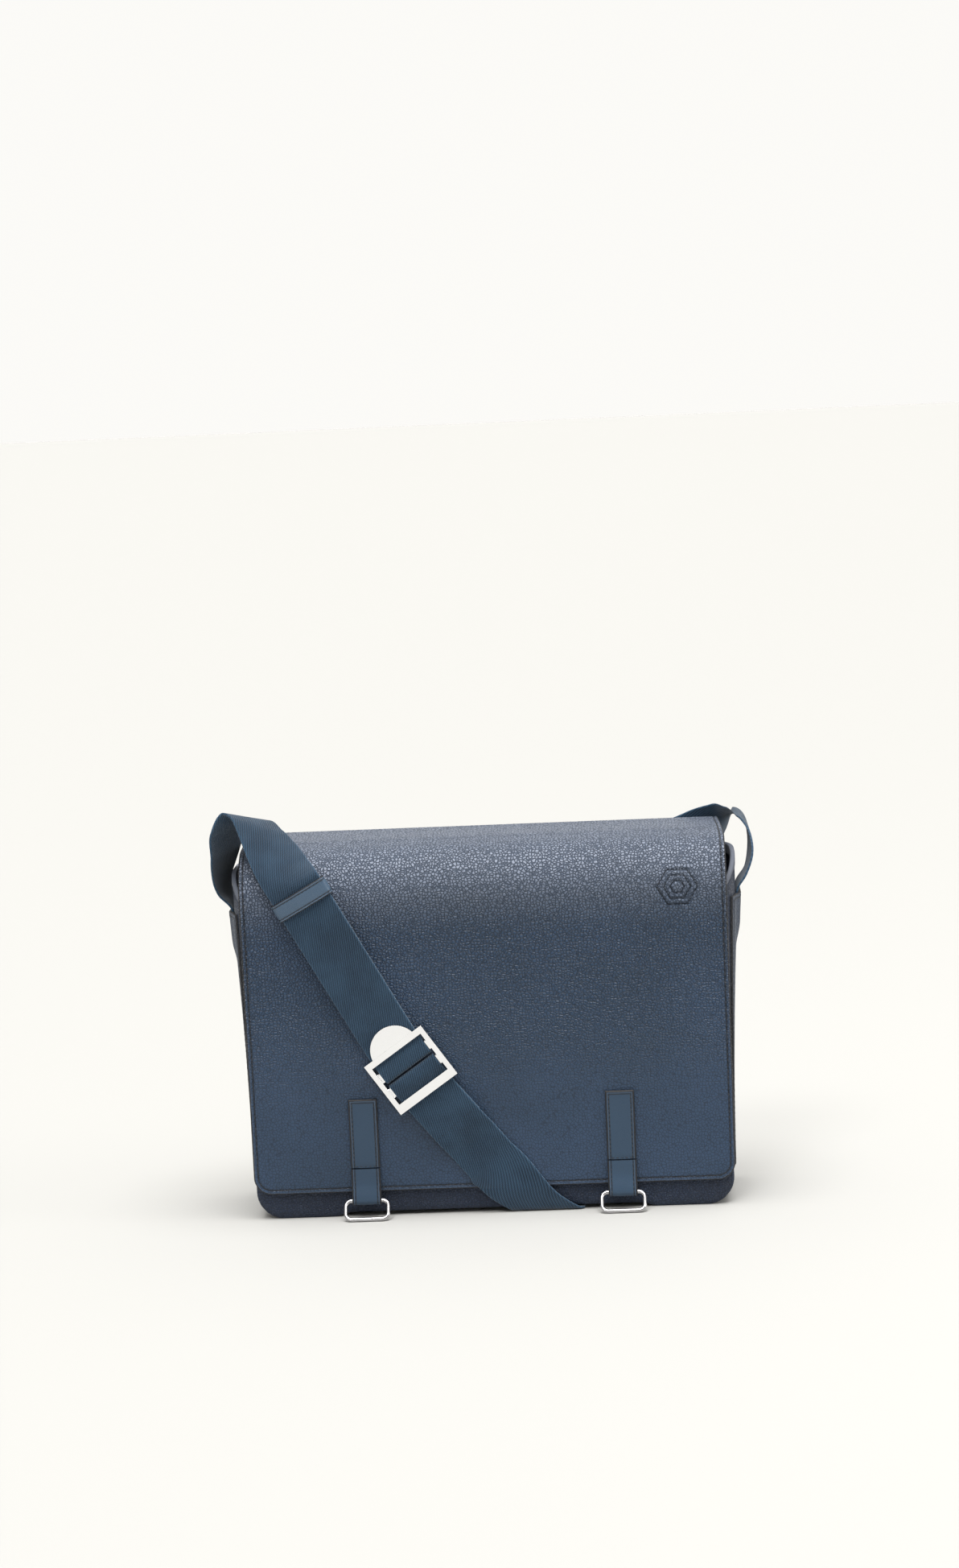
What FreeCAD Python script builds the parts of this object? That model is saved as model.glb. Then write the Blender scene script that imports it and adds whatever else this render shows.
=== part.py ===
"""Messenger bag: leather body with a front flap, two closure tabs with rings, and a webbing strap wrapped round it.

Millimetres. +X is the wearer's right when facing the bag, the front faces -Y and +Z is up. The origin is on the
floor, in the middle of the whole object's box. Each function makes one sub-part, and main() writes one STEP each.
"""

import FreeCAD
import Part

import math
import os

Vector = FreeCAD.Vector

# Body
body_width = 348.0        # outside, over the gussets
body_depth = 92.0         # outside, front panel to back panel
body_mid_y = -2.7         # puts the whole object's box on the origin
back_panel_drop = 6.0     # top edges of the back panel and the gussets, below the flap's top
gusset_drop = 19.0
gusset_bulge = 8.0        # the strap pulls the top of each gusset outwards by this much
bulge_start = 30.0        # the bulge starts at this height and is full above the strap's anchor
bulge_curve = 1.6         # over 1, the bulge grows faster towards the top
panel_leather = 2.5       # front panel, back panel, gussets and base
corner_radius = 20.0      # lower corners, seen from the front
base_lift = 3.0           # the middle of the base stands clear of the floor
base_lift_width = 212.0   # width of the lifted middle
base_slope = 12.0         # width over which the base comes down to the floor
base_panel_width = 200.0
board_thickness = 2.2
board_inset = 24.0        # base board's edge to the outside of the gusset
lining_cloth = 0.8
facing_leather = 1.8
facing_height = 28.0
pocket_width = 150.0      # inner pocket
pocket_bottom = 95.0
pocket_seam = 6.0
pocket_cloth = 1.0
pocket_room = 1.6
seat_gap = 0.2            # between a piece and the one it lies on
binding_reach = 7.0
binding_leather = 0.5

# Flap
flap_side_reach = 1.0     # the flap's front reaches this far past each side of the body
flap_back_taper = 3.0     # and it narrows this much, on each side, towards its fold line
flap_top = 272.0
flap_bottom = 19.0
flap_leather = 2.2
flap_lining_cloth = 0.8
flap_gap = 0.8            # flap lining to front panel
flap_corner_radius = 13.0
shoulder_radius = 36.0
shoulder_drop = 9.0       # the top falls this far from back to front
crown_depth = 50.0        # back part of the top, which is nearly level
crown_drop = 1.5
crown_radius = 60.0
back_strip_height = 43.0
hinge_gap = 0.3           # flap's fold line to the strip that is sewn on the back
lining_margin = 6.0       # the flap's lining stops this far from the fold line

# Closure
tab_spacing = 186.0
tab_width = 21.0
tab_leather = 2.4
tab_top = 88.0
tab_fold = 37.0           # cross stitch, where the free end bends
tab_fold_gap = 0.6
tab_loop_leather = 2.7
ring_wire = 3.0
ring_width = 31.0         # centre to centre of the wire
ring_height = 15.0
ring_corner = 4.5
ring_clearance = 0.25     # radial, wire to leather loop
ring_floor_gap = 0.2
loop_wall = 1.6
loop_centre_height = 13.5
loop_stand_off = 3.9      # ring's upper bar in front of the flap
magnet_diameter = 18.0
magnet_cover = 0.8        # leather left over a magnet
magnet_height = 62.0

# Strap and its fittings
strap_width = 40.0
strap_thickness = 1.6
strap_gap = 0.3
keeper_leather = 1.0
slope_buckle = 55.3       # degrees below the horizontal, on the front
slope_lower = 50.8
buckle_x = -56.5
buckle_z = 109.4
buckle_play = 3.9         # frame's window wider than the strap
buckle_length = 43.8
buckle_side = 3.7
buckle_top_bar = 4.7
buckle_bottom_bar = 6.7
buckle_face = 2.4         # thickness of the top and bottom bars
buckle_floor = 3.0        # underside of the side bars, above the flap
thumb_tab_radius = 18.2
thumb_tab_thickness = 1.6
bar_width = 8.0
bar_thickness = 2.0
bar_spacing = 13.0        # slide bar to loop bar
bar_tenon = 1.5
keeper_x = -129.0
keeper_drop = 36.0        # below the flap's top
keeper_length = 13.5
keeper_front_leather = 1.35
keeper_side = 1.4
keeper_clearance = 0.8
tail_past_keeper = 8.0
seam_past_buckle = 32.0
anchor_drop = 29.0        # from a gusset's top to where the strap end goes under its patch
anchor_depth = 24.0
anchor_gap = 0.5          # strap end to the leather on both of its faces
patch_leather = 1.6
patch_inset = 8.0
patch_bottom = 26.0

# Places worked out from the sizes
buckle_width = strap_width + buckle_play + 2 * buckle_side
half_width = body_width / 2
back_height = flap_top - back_panel_drop
gusset_height = flap_top - gusset_drop
anchor_height = gusset_height - anchor_drop
bulge_full = anchor_height + 4.0
flap_half = half_width + flap_side_reach
keeper_z = flap_top - keeper_drop
front_y = body_mid_y - body_depth / 2
back_y = body_mid_y + body_depth / 2
flap_y = front_y - flap_gap - flap_lining_cloth - flap_leather
hinge_y = back_y + seat_gap + flap_leather / 2
hinge_z = flap_top - flap_leather / 2
inner_half = half_width - panel_leather - seat_gap
inner_front = front_y + panel_leather + seat_gap
inner_back = back_y - panel_leather - seat_gap
floor_z = base_lift + panel_leather + seat_gap + board_thickness + seat_gap
shoulder_slope = math.atan2(shoulder_drop - crown_drop, hinge_y - crown_depth - flap_y)
shoulder_foot = flap_top - shoulder_drop - shoulder_radius * math.tan(math.radians(45) - shoulder_slope / 2)
front_height = shoulder_foot + 1.0
facing_top = front_height - 1.0
facing_bottom = facing_top - facing_height
loop_y = flap_y - loop_stand_off
ring_drop = loop_centre_height - ring_floor_gap - ring_wire / 2
ring_lean = math.acos(ring_drop / ring_height)
tail_level = keeper_leather + 2 * strap_gap - 0.1 + strap_thickness / 2
main_level = tail_level + strap_gap + strap_thickness
strip_top = hinge_z - flap_leather / 2 - hinge_gap
bar_wrap = bar_thickness / 2 + 0.25 + strap_thickness / 2
bar_level = tail_level + bar_wrap
over_level = bar_level + bar_wrap
flat_level = strap_gap + 0.1 + strap_thickness / 2


# Plane outlines

def unit(vector):
    return vector * (1.0 / vector.Length)


def offset_corners(points, offset):
    """Corners of an open outline moved to its left by offset."""
    moved = []
    for i, point in enumerate(points):
        normals = []
        for a, b in ((i - 1, i), (i, i + 1)):
            if 0 <= a and b < len(points):
                run = unit(points[b] - points[a])
                normals.append(Vector(-run.y, run.x, 0))
        if len(normals) == 2:
            shift = (normals[0] + normals[1]) * (1.0 / (1.0 + normals[0].dot(normals[1])))
        else:
            shift = normals[0]
        moved.append(point + shift * offset)
    return moved


def rounded_run(points, radii, offset=0.0):
    """Edges of an open outline with its inner corners rounded, moved to the left by offset."""
    corners = offset_corners(points, offset)
    edges = []
    start = corners[0]
    for i in range(1, len(corners) - 1):
        before = unit(points[i] - points[i - 1])
        after = unit(points[i + 1] - points[i])
        turn = before.getAngle(after)
        left = before.cross(after).z > 0
        radius = radii[i - 1] - offset if left else radii[i - 1] + offset
        reach = radius * math.tan(turn / 2)
        first = corners[i] - before * reach
        last = corners[i] + after * reach
        inward = unit(after - before)
        middle = corners[i] + inward * (radius / math.cos(turn / 2) - radius)
        edges.append(Part.LineSegment(start, first).toShape())
        edges.append(Part.Arc(first, middle, last).toShape())
        start = last
    edges.append(Part.LineSegment(start, corners[-1]).toShape())
    return edges


def closed_face(edges):
    """Face of a run of edges closed by a straight line."""
    first, last = edges[0].Vertexes[0].Point, edges[-1].Vertexes[-1].Point
    return Part.Face(Part.Wire(edges + [Part.LineSegment(last, first).toShape()]))


def band_face(points, radii, near, far):
    """Face between two offsets of one open outline."""
    outer = rounded_run(points, radii, near)
    inner = rounded_run(points, radii, far)
    ends = [
        Part.LineSegment(outer[-1].Vertexes[-1].Point, inner[-1].Vertexes[-1].Point).toShape(),
        Part.LineSegment(inner[0].Vertexes[0].Point, outer[0].Vertexes[0].Point).toShape(),
    ]
    return Part.Face(Part.Wire(outer + ends[:1] + inner[::-1] + ends[1:]))


def front_view(face, y_low, y_high):
    """Solid from a face drawn in X and Z, between two depths."""
    face = face.copy()
    face.rotate(Vector(0, 0, 0), Vector(1, 0, 0), 90)
    face.translate(Vector(0, y_high, 0))
    return face.extrude(Vector(0, y_low - y_high, 0))


def side_view(face, x_low, x_high):
    """Solid from a face drawn in Y and Z, between two widths."""
    turned = placed(face, FreeCAD.Matrix(0, 0, 1, x_low, 1, 0, 0, 0, 0, 1, 0, 0, 0, 0, 0, 1))
    return turned.extrude(Vector(x_high - x_low, 0, 0))


def placed(shape, matrix):
    """A copy of a shape put in place by a rigid matrix."""
    copy = shape.copy()
    copy.Placement = FreeCAD.Placement(matrix)
    return copy


def box(x_low, x_high, y_low, y_high, z_low, z_high):
    return Part.makeBox(x_high - x_low, y_high - y_low, z_high - z_low, Vector(x_low, y_low, z_low))


def flat(points):
    return [Vector(a, b, 0) for a, b in points]


# Body

def body_outline(top):
    """Left side, base and right side, seen from the front. Its left is inwards."""
    lifted = base_lift_width / 2
    landed = lifted + base_slope
    return flat([
        (-half_width, top), (-half_width, 0), (-landed, 0), (-lifted, base_lift),
        (lifted, base_lift), (landed, 0), (half_width, 0), (half_width, top),
    ])


body_radii = [corner_radius, 12.0, 12.0, 12.0, 12.0, corner_radius]


def front_panel():
    panel = front_view(closed_face(rounded_run(body_outline(front_height), body_radii)),
                       front_y, front_y + panel_leather)
    return panel.cut(magnets(front_y + magnet_cover, front_y + panel_leather))


def back_panel():
    return front_view(closed_face(rounded_run(body_outline(back_height), body_radii)),
                      back_y - panel_leather, back_y)


def wall_band():
    """Gussets and base as one strip, before it is cut in three."""
    face = band_face(body_outline(gusset_height), body_radii, 0, panel_leather)
    return front_view(face, front_y + panel_leather, back_y - panel_leather)


def bulge(y, z):
    """How far a gusset stands out at a place on it."""
    grown = min(max((z - bulge_start) / (bulge_full - bulge_start), 0.0), 1.0)
    across = (y - body_mid_y) / (body_depth / 2 - panel_leather)
    return gusset_bulge * grown ** bulge_curve * (1 - across ** 4)


def gusset_sheet(side, near, far, y_low, y_high, low, high):
    """Sheet that follows a gusset, between two distances out from the body's side."""
    bends = [bulge_start + (bulge_full - bulge_start) * i / 6 for i in range(7)]
    levels = sorted({low, high} | {z for z in bends if low < z < high})
    steps = [y_low + (y_high - y_low) * i / 12 for i in range(13)]
    wires = []
    for z in levels:
        edges = []
        for out, order in ((near, steps), (far, steps[::-1])):
            curve = Part.BSplineCurve()
            curve.interpolate([Vector(side * (half_width + out + bulge(y, z)), y, z) for y in order])
            edges.append(curve.toShape())
        first, second = edges
        edges.insert(1, Part.LineSegment(first.Vertexes[-1].Point, second.Vertexes[0].Point).toShape())
        edges.append(Part.LineSegment(second.Vertexes[-1].Point, first.Vertexes[0].Point).toShape())
        wires.append(Part.Wire(edges))
    return Part.makeLoft(wires, True, True)


def gusset_top():
    """Top edge of a gusset from front to back, in Y and Z. It runs below the flap's shoulder."""
    front, back = front_y + panel_leather, back_y - panel_leather
    rise = gusset_height - front_height
    return flat([(back, gusset_height), (front + rise, gusset_height), (front, front_height)])


def gusset(side):
    front, back = front_y + panel_leather, back_y - panel_leather
    reach = half_width + 1
    cutter = box(base_panel_width / 2, reach, front_y, back_y, -1, bulge_start)
    if side < 0:
        cutter = cutter.mirror(Vector(0, 0, 0), Vector(1, 0, 0))
    upper_part = gusset_sheet(side, -panel_leather, 0, front, back, bulge_start, gusset_height + 1)
    sheet = wall_band().common(cutter).fuse(upper_part).removeSplitter()
    run = rounded_run(gusset_top(), [12.0])
    ends = flat([(front, front_height), (front, -1), (back, -1), (back, gusset_height)])
    under = run + [Part.LineSegment(a, b).toShape() for a, b in zip(ends, ends[1:])]
    return sheet.common(side_view(Part.Face(Part.Wire(under)), -reach - 20, reach + 20))


def base_panel():
    half = base_panel_width / 2
    return wall_band().common(box(-half, half, front_y, back_y, -1, gusset_height + 1))


def base_board():
    half = half_width - board_inset
    low = base_lift + panel_leather + seat_gap
    return box(-half, half, inner_front + 1, inner_back - 1, low, low + board_thickness)


def lining():
    """Cloth bag inside the leather, open at the top."""
    radius = corner_radius - panel_leather + 0.5
    outline = flat([(-inner_half, facing_bottom - 0.1), (-inner_half, floor_z),
                    (inner_half, floor_z), (inner_half, facing_bottom - 0.1)])
    radii = [radius, radius]
    wall = front_view(band_face(outline, radii, 0, lining_cloth), inner_front, inner_back)
    sheet = closed_face(rounded_run(outline, radii))
    front = front_view(sheet, inner_front, inner_front + lining_cloth)
    back = front_view(sheet, inner_back - lining_cloth, inner_back)
    return wall.fuse([front, back]).removeSplitter()


def mouth_facing():
    """Leather band round the inside of the mouth."""
    outer = box(-inner_half, inner_half, inner_front, inner_back, facing_bottom, facing_top)
    inner = box(-inner_half + facing_leather, inner_half - facing_leather, inner_front + facing_leather,
                inner_back - facing_leather, facing_bottom - 1, facing_top + 1)
    return outer.cut(inner)


def inner_pocket():
    """Patch pocket on the back of the lining, sewn on three sides and open at the top."""
    half, low, high = pocket_width / 2, pocket_bottom, facing_bottom - seat_gap
    seam, cloth, room = pocket_seam, pocket_cloth, pocket_room
    wall = inner_back - lining_cloth
    patch = box(-half, half, wall - room - cloth, wall, low, high)
    return patch.cut(box(-half + seam, half - seam, wall - room, wall, low + seam, high + 1))


def front_binding():
    """Folded leather over the front panel's top edge, inside, above and outside it."""
    inside = half_width - 4.0
    grow = binding_leather
    cap = box(-inside, inside, front_y - grow, front_y + panel_leather, front_height - binding_reach,
              front_height + grow)
    return cap.cut(box(-inside, inside, front_y, front_y + panel_leather, 0, front_height))


def gusset_binding(side):
    """Folded leather over a gusset's top edge."""
    grow = binding_leather
    front, back = front_y + panel_leather + seat_gap, back_y - panel_leather - seat_gap
    low = front_height - 2 * binding_reach
    cap = gusset_sheet(side, -panel_leather - grow, grow, front, back, low, gusset_height + 2)
    strip = band_face(gusset_top(), [12.0], -grow, binding_reach)
    cap = cap.common(side_view(strip, -half_width - 20, half_width + 20))
    return cap.cut(gusset(side)).cut(mouth_facing())


def gusset_patch(side):
    """Outer leather on a gusset, with the pocket that the strap end is sewn into."""
    front, back = front_y + patch_inset, back_y - patch_inset
    sag = bulge(body_mid_y, anchor_height) - bulge(body_mid_y + strap_width / 2, anchor_height)
    pocket = strap_thickness + 2 * anchor_gap + sag
    slot = strap_width / 2 + 0.5
    patch = gusset_sheet(side, seat_gap, pocket + patch_leather, front, back, patch_bottom, anchor_height)
    low = anchor_height - anchor_depth - 1
    return patch.cut(gusset_sheet(side, 0, pocket, body_mid_y - slot, body_mid_y + slot,
                                  low, anchor_height + 1))


# Flap

def flap_outline():
    """Fold line, top, shoulder and front, in Y and Z. Its left is the side of the bag."""
    return flat([(hinge_y, flap_top), (hinge_y - crown_depth, flap_top - crown_drop),
                 (flap_y, flap_top - shoulder_drop), (flap_y, flap_bottom)])


def flap_band(near, far):
    """The flap's sheet between two depths below its outer face, cut to its front outline."""
    sheet = side_view(band_face(flap_outline(), [crown_radius, shoulder_radius], near, far),
                      -flap_half, flap_half)
    half, radius, top = flap_half, flap_corner_radius, flap_top + 9
    outline = closed_face(rounded_run(
        flat([(-half, top), (-half, flap_bottom), (half, flap_bottom), (half, top)]), [radius, radius]))
    front, back, waist = flap_y - 1, hinge_y + 1, flap_half - flap_back_taper
    plan = Part.Face(Part.makePolygon([
        Vector(-half, front, 0), Vector(half, front, 0), Vector(half, body_mid_y - 20, 0),
        Vector(waist, back, 0), Vector(-waist, back, 0), Vector(-half, body_mid_y - 20, 0),
        Vector(-half, front, 0)]))
    return sheet.common(front_view(outline, front, back)).common(plan.extrude(Vector(0, 0, top)))


def magnets(y_low, y_high):
    """The two discs of one half of the closure, between two depths."""
    discs = [
        Part.makeCylinder(magnet_diameter / 2, y_high - y_low,
                          Vector(side * tab_spacing / 2, y_low, magnet_height), Vector(0, 1, 0))
        for side in (-1, 1)
    ]
    return Part.makeCompound(discs)


def flap_shell():
    return flap_band(0, flap_leather).cut(magnets(flap_y + magnet_cover, flap_y + flap_leather))


def flap_lining():
    sheet = flap_band(flap_leather, flap_leather + flap_lining_cloth)
    return sheet.cut(box(-flap_half, flap_half, hinge_y - lining_margin, back_y + 9, 0, flap_top))


def flap_back_strip():
    """The end of the flap's leather that is sewn to the back panel."""
    half = flap_half - flap_back_taper
    return box(-half, half, back_y + seat_gap, back_y + seat_gap + flap_leather,
               strip_top - back_strip_height, strip_top)


# Closure

def tab(side):
    middle = side * tab_spacing / 2
    return box(middle - tab_width / 2, middle + tab_width / 2, flap_y - tab_leather, flap_y,
               tab_fold + tab_fold_gap, tab_top)


def tab_loop(side):
    """Free end of a tab: a strip that ends in an eye round the ring's upper bar."""
    middle = side * tab_spacing / 2
    half = tab_loop_leather / 2
    run = flat([(flap_y - half - 0.3, tab_fold - tab_fold_gap), (flap_y - half - 0.7, flap_bottom + 3),
                (loop_y, loop_centre_height)])
    strip = side_view(band_face(run, [14.0], -half, half), middle - tab_width / 2, middle + tab_width / 2)
    start = Vector(middle - tab_width / 2, loop_y, loop_centre_height)
    hole = ring_wire / 2 + ring_clearance
    eye = Part.makeCylinder(hole + loop_wall, tab_width, start, Vector(1, 0, 0))
    bore = Part.makeCylinder(hole, tab_width, start, Vector(1, 0, 0))
    return strip.fuse(eye).cut(bore).removeSplitter()


def ring(side):
    """Closed wire ring that hangs from a tab and leans forward to the floor."""
    half, radius = ring_width / 2, ring_wire / 2
    pieces = []
    centres = [(half - ring_corner, -ring_corner), (half - ring_corner, ring_corner - ring_height),
               (ring_corner - half, ring_corner - ring_height), (ring_corner - half, -ring_corner)]
    turns = [0, -90, -180, -270]
    for (x, z), turn in zip(centres, turns):
        bend = Part.makeTorus(ring_corner, radius, Vector(0, 0, 0), Vector(0, -1, 0), -180, 180, 90)
        bend.rotate(Vector(0, 0, 0), Vector(0, 1, 0), corner_start(bend) - turn)
        bend.translate(Vector(x, 0, z))
        pieces.append(bend)
    flat_x, flat_z = ring_width - 2 * ring_corner, ring_height - 2 * ring_corner
    for z in (0, -ring_height):
        pieces.append(Part.makeCylinder(radius, flat_x, Vector(-flat_x / 2, 0, z), Vector(1, 0, 0)))
    for x in (-half, half):
        pieces.append(Part.makeCylinder(radius, flat_z, Vector(x, 0, ring_corner - ring_height),
                                        Vector(0, 0, 1)))
    whole = pieces[0].fuse(pieces[1:]).removeSplitter()
    whole.rotate(Vector(0, 0, 0), Vector(1, 0, 0), -math.degrees(ring_lean))
    whole.translate(Vector(side * tab_spacing / 2, loop_y, loop_centre_height))
    return whole


def corner_start(bend):
    """Degrees about +Y that bring a quarter bend's middle to the upper right."""
    middle = bend.CenterOfMass
    return math.degrees(math.atan2(middle.z, middle.x)) - 45.0


# Strap

def slope_frame(slope, x, z):
    """Matrix from a strap's own axes (along, across, off the flap) to the bag's, at a point of the flap's face."""
    c, s = math.cos(math.radians(slope)), math.sin(math.radians(slope))
    return FreeCAD.Matrix(c, s, 0, x, 0, 0, -1, flap_y, -s, c, 0, z, 0, 0, 0, 1)


buckle_c, buckle_s = math.cos(math.radians(slope_buckle)), math.sin(math.radians(slope_buckle))
head_x, head_z = buckle_x - buckle_c * buckle_length / 2, buckle_z + buckle_s * buckle_length / 2
tail_x, tail_z = 2 * buckle_x - head_x, 2 * buckle_z - head_z
slope_upper = math.degrees(math.atan2(keeper_z - head_z, head_x - keeper_x))
upper_length = math.hypot(keeper_z - head_z, head_x - keeper_x)
upper = slope_frame(slope_upper, keeper_x, keeper_z)
buckle_head = slope_frame(slope_buckle, head_x, head_z)
lower = slope_frame(slope_lower, tail_x, tail_z)
slide_bar_at = buckle_length / 2 - bar_spacing / 2 - 0.9
loop_bar_at = slide_bar_at + bar_spacing


def on(frame, along, level):
    """A strap section on the flap: its middle and the way to its left edge."""
    return frame.multVec(Vector(along, 0, level)), -unit(Vector(frame.A12, frame.A22, frame.A32))


def between(left, right):
    """A section from the two edges of the strap."""
    return (left + right) * 0.5, unit(left - right)


def free(side, left, right):
    """A section in the air, from its edges: out from a gusset, back from mid depth, up from the flap's top."""
    edges = [Vector(side * (half_width + out), body_mid_y + back * body_depth / loop_depth, flap_top + up)
             for out, back, up in (left, right)]
    return between(*edges)


def level(x, y, z, across_x=-1.0, across_y=0.0, stretch=1.0):
    """A section of the wrapped strap. A stretch over 1 is a section that is cut askew."""
    return Vector(x, y, z), unit(Vector(across_x, across_y, 0)) * stretch


def on_back(x, z, climb, y):
    """A section on the back, for a climb in degrees above the horizontal."""
    angle = math.radians(climb)
    return Vector(x, y, z), Vector(-math.sin(angle), 0, math.cos(angle))


def smooth(stations, count):
    """More sections along a curve through the given ones."""
    def through(values, i, t):
        a, b, c, d = (values[min(max(k, 0), len(values) - 1)] for k in range(i - 1, i + 3))
        return (b * 2 + (c - a) * t + (a * 2 - b * 5 + c * 4 - d) * t ** 2
                + (b * 3 - a - c * 3 + d) * t ** 3) * 0.5

    middles = [middle for middle, _ in stations]
    ways = [way for _, way in stations]
    curve = []
    for i in range(len(stations) - 1):
        for step in range(count):
            way = through(ways, i, step / count)
            size = ways[i].Length + (ways[i + 1].Length - ways[i].Length) * step / count
            curve.append((through(middles, i, step / count), unit(way) * size))
    return curve + stations[-1:]


def webbing(stations):
    """One ribbon of webbing through a list of sections."""
    middles = [middle for middle, _ in stations]
    wires = []
    for i, (middle, across) in enumerate(stations):
        along = middles[min(i + 1, len(middles) - 1)] - middles[max(i - 1, 0)]
        normal = unit(across.cross(along))
        side, rise = across * (strap_width / 2), normal * (strap_thickness / 2)
        corners = [middle + side + rise, middle + side - rise, middle - side - rise, middle - side + rise]
        wires.append(Part.makePolygon(corners + corners[:1]))
    return Part.makeLoft(wires, True, True)


def bar_turn(centre, first, last):
    """Sections round a bar, from one angle to another, seen across the strap."""
    count = 8
    stations = []
    for i in range(count + 1):
        angle = math.radians(first + (last - first) * i / count)
        stations.append(on(buckle_head, centre + bar_wrap * math.cos(angle),
                           bar_level + bar_wrap * math.sin(angle)))
    return stations


def sewn_end(side):
    """Sections of a strap end in its gusset patch, from the end up."""
    out = half_width + anchor_gap + strap_thickness / 2
    heights = (anchor_height - anchor_depth, anchor_height + 2)
    return [
        (Vector(side * (out + bulge(body_mid_y, z)), body_mid_y, z), Vector(0, -1, 0))
        for z in heights
    ]


# Each pair is a section's front edge and back edge, chosen by hand for a body of loop_depth.
loop_depth = 92.0
left_loop = [
    ((18, -22.5, -35), (12.5, 16.5, -36)),
    ((21, -26.5, -24), (11.5, 12, -24)),
    ((21, -32.5, -8), (5.5, 5, -9)),
    ((18.5, -36.5, 12), (-4, -6.5, 12)),
    ((12, -36.5, 26), (-23, -15.5, 16)),
    ((5, -38.5, 22.5), (-31, -21.5, 10)),
    ((-1, -42.5, 9), (-38, -25.5, 3.5)),
    ((-6, -47, -5), (-43, -29.5, -1)),
    ((-12.5, -51.5, -18.5), (-48.5, -38.5, -8)),
]
right_loop = [
    ((-5.5, 45.5, 8), (-3, 61.5, -26)),
    ((3.5, 37.5, 6), (4, 66.5, -12)),
    ((11.5, 26, 2), (10, 61.5, 3)),
    ((18, 13, -4), (16, 51, 1)),
    ((21, 0, -12), (19, 39, -6)),
    ((21, -11.5, -22), (19.5, 27.5, -20)),
    ((16, -17.5, -35), (16.5, 22.5, -35)),
]


def strap_short():
    """From the left gusset, over the corner and down the flap to the slide bar, with its tail folded back."""
    loop = sewn_end(-1)[1:] + [free(-1, front, back) for front, back in left_loop]
    loop.append(on(upper, -tail_past_keeper - 3, main_level))
    stations = sewn_end(-1)[:1] + smooth(loop, 3) + [
        on(upper, keeper_length / 2 + 1, main_level),
        on(upper, upper_length - 3, main_level),
        on(buckle_head, buckle_top_bar + 0.6, main_level),
        on(buckle_head, slide_bar_at - bar_width / 2 - 1.0, over_level - 0.6),
        on(buckle_head, slide_bar_at - bar_width / 2 + 1.5, over_level),
    ]
    stations += bar_turn(slide_bar_at + bar_width / 2 - bar_thickness / 2, 90, -90)
    stations += [
        on(buckle_head, 3.0, tail_level),
        on(upper, upper_length - 3, tail_level),
        on(upper, -tail_past_keeper, tail_level),
    ]
    return webbing(stations)


def strap_long():
    """From its sewn end round the loop bar, down the flap, under the base, up the back to the right gusset."""
    stations = [
        on(lower, seam_past_buckle, tail_level),
        on(lower, 4.0, tail_level),
        on(buckle_head, buckle_length - 4, tail_level),
    ]
    stations += bar_turn(loop_bar_at - bar_width / 2 + bar_thickness / 2, 270, 90)
    stations += [
        on(buckle_head, loop_bar_at + bar_width / 2 - 1.5, over_level),
        on(buckle_head, loop_bar_at + bar_width / 2 + 1.0, over_level - 0.6),
        on(buckle_head, buckle_length - buckle_bottom_bar - 0.6, main_level),
        on(buckle_head, buckle_length - 2, main_level),
        on(lower, 4.0, main_level),
        on(lower, seam_past_buckle + 2, main_level),
        on(lower, seam_past_buckle + 16, flat_level),
    ]
    sine = math.sin(math.radians(slope_lower))
    askew = 1 / sine
    edge_x = lower.multVec(Vector((tail_z - flap_bottom) / sine, 0, 0)).x
    under = base_lift - 1.0 - strap_thickness / 2
    skin = strap_thickness / 2 + 0.5
    front_run = [
        level(edge_x, flap_y - flat_level, flap_bottom, stretch=askew),
        level(edge_x + 7, front_y - 3.9, 0.62 * flap_bottom, stretch=askew),
        level(edge_x + 14, front_y - 2.7, 0.34 * flap_bottom, stretch=askew),
        level(edge_x + 19, front_y - 1.8, base_lift + 0.2, stretch=askew),
        level(edge_x + 22, front_y - 0.7, under + 0.4, stretch=askew),
        level(edge_x + 24, front_y + 1.5, under, stretch=askew),
    ]
    under_run = [
        level(edge_x + 30, front_y + 22, under, across_y=0.10, stretch=1.08),
        level(edge_x + 34, back_y - 2.0, under, across_y=0.11),
        level(edge_x + 34.5, back_y + 0.9, under + 0.4, across_y=0.05),
        level(edge_x + 35, back_y + 1.7, base_lift + 0.4),
    ]
    low_y, high_y = back_y + skin, back_y + seat_gap + flap_leather + skin
    back_run = [
        on_back(edge_x + 36, 12, 88, low_y),
        on_back(edge_x + 41, 48, 83, low_y),
        on_back(edge_x + 49, 100, 79, low_y),
        on_back(edge_x + 62, 156, 71, low_y),
        on_back(half_width - 81, flap_top - 82, 64, low_y + 0.6),
        on_back(half_width - 67, flap_top - 58, 56, high_y + 0.6),
        on_back(half_width - 52, flap_top - 37, 45, high_y + 1.0),
        on_back(half_width - 35, flap_top - 23, 31, high_y + 1.6),
        on_back(half_width - 18, flap_top - 16, 20, high_y + 2.6),
    ]
    loop = back_run + [free(1, front, back) for front, back in right_loop] + sewn_end(1)[1:]
    return webbing(stations + smooth(front_run, 2) + under_run + smooth(loop, 3) + sewn_end(1)[:1])


def stadium_bar(centre, length):
    """Flat bar with round edges, across the strap in the buckle's own axes."""
    low, high = centre - bar_width / 2, centre + bar_width / 2
    half = bar_thickness / 2
    core = box(low + half, high - half, -length / 2, length / 2, bar_level - half, bar_level + half)
    ends = [
        Part.makeCylinder(half, length, Vector(along, -length / 2, bar_level), Vector(0, 1, 0))
        for along in (low + half, high - half)
    ]
    return core.fuse(ends).removeSplitter()


def buckle_bar(centre):
    return placed(stadium_bar(centre, buckle_width - 2 * buckle_side + 2 * bar_tenon), buckle_head)


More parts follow.
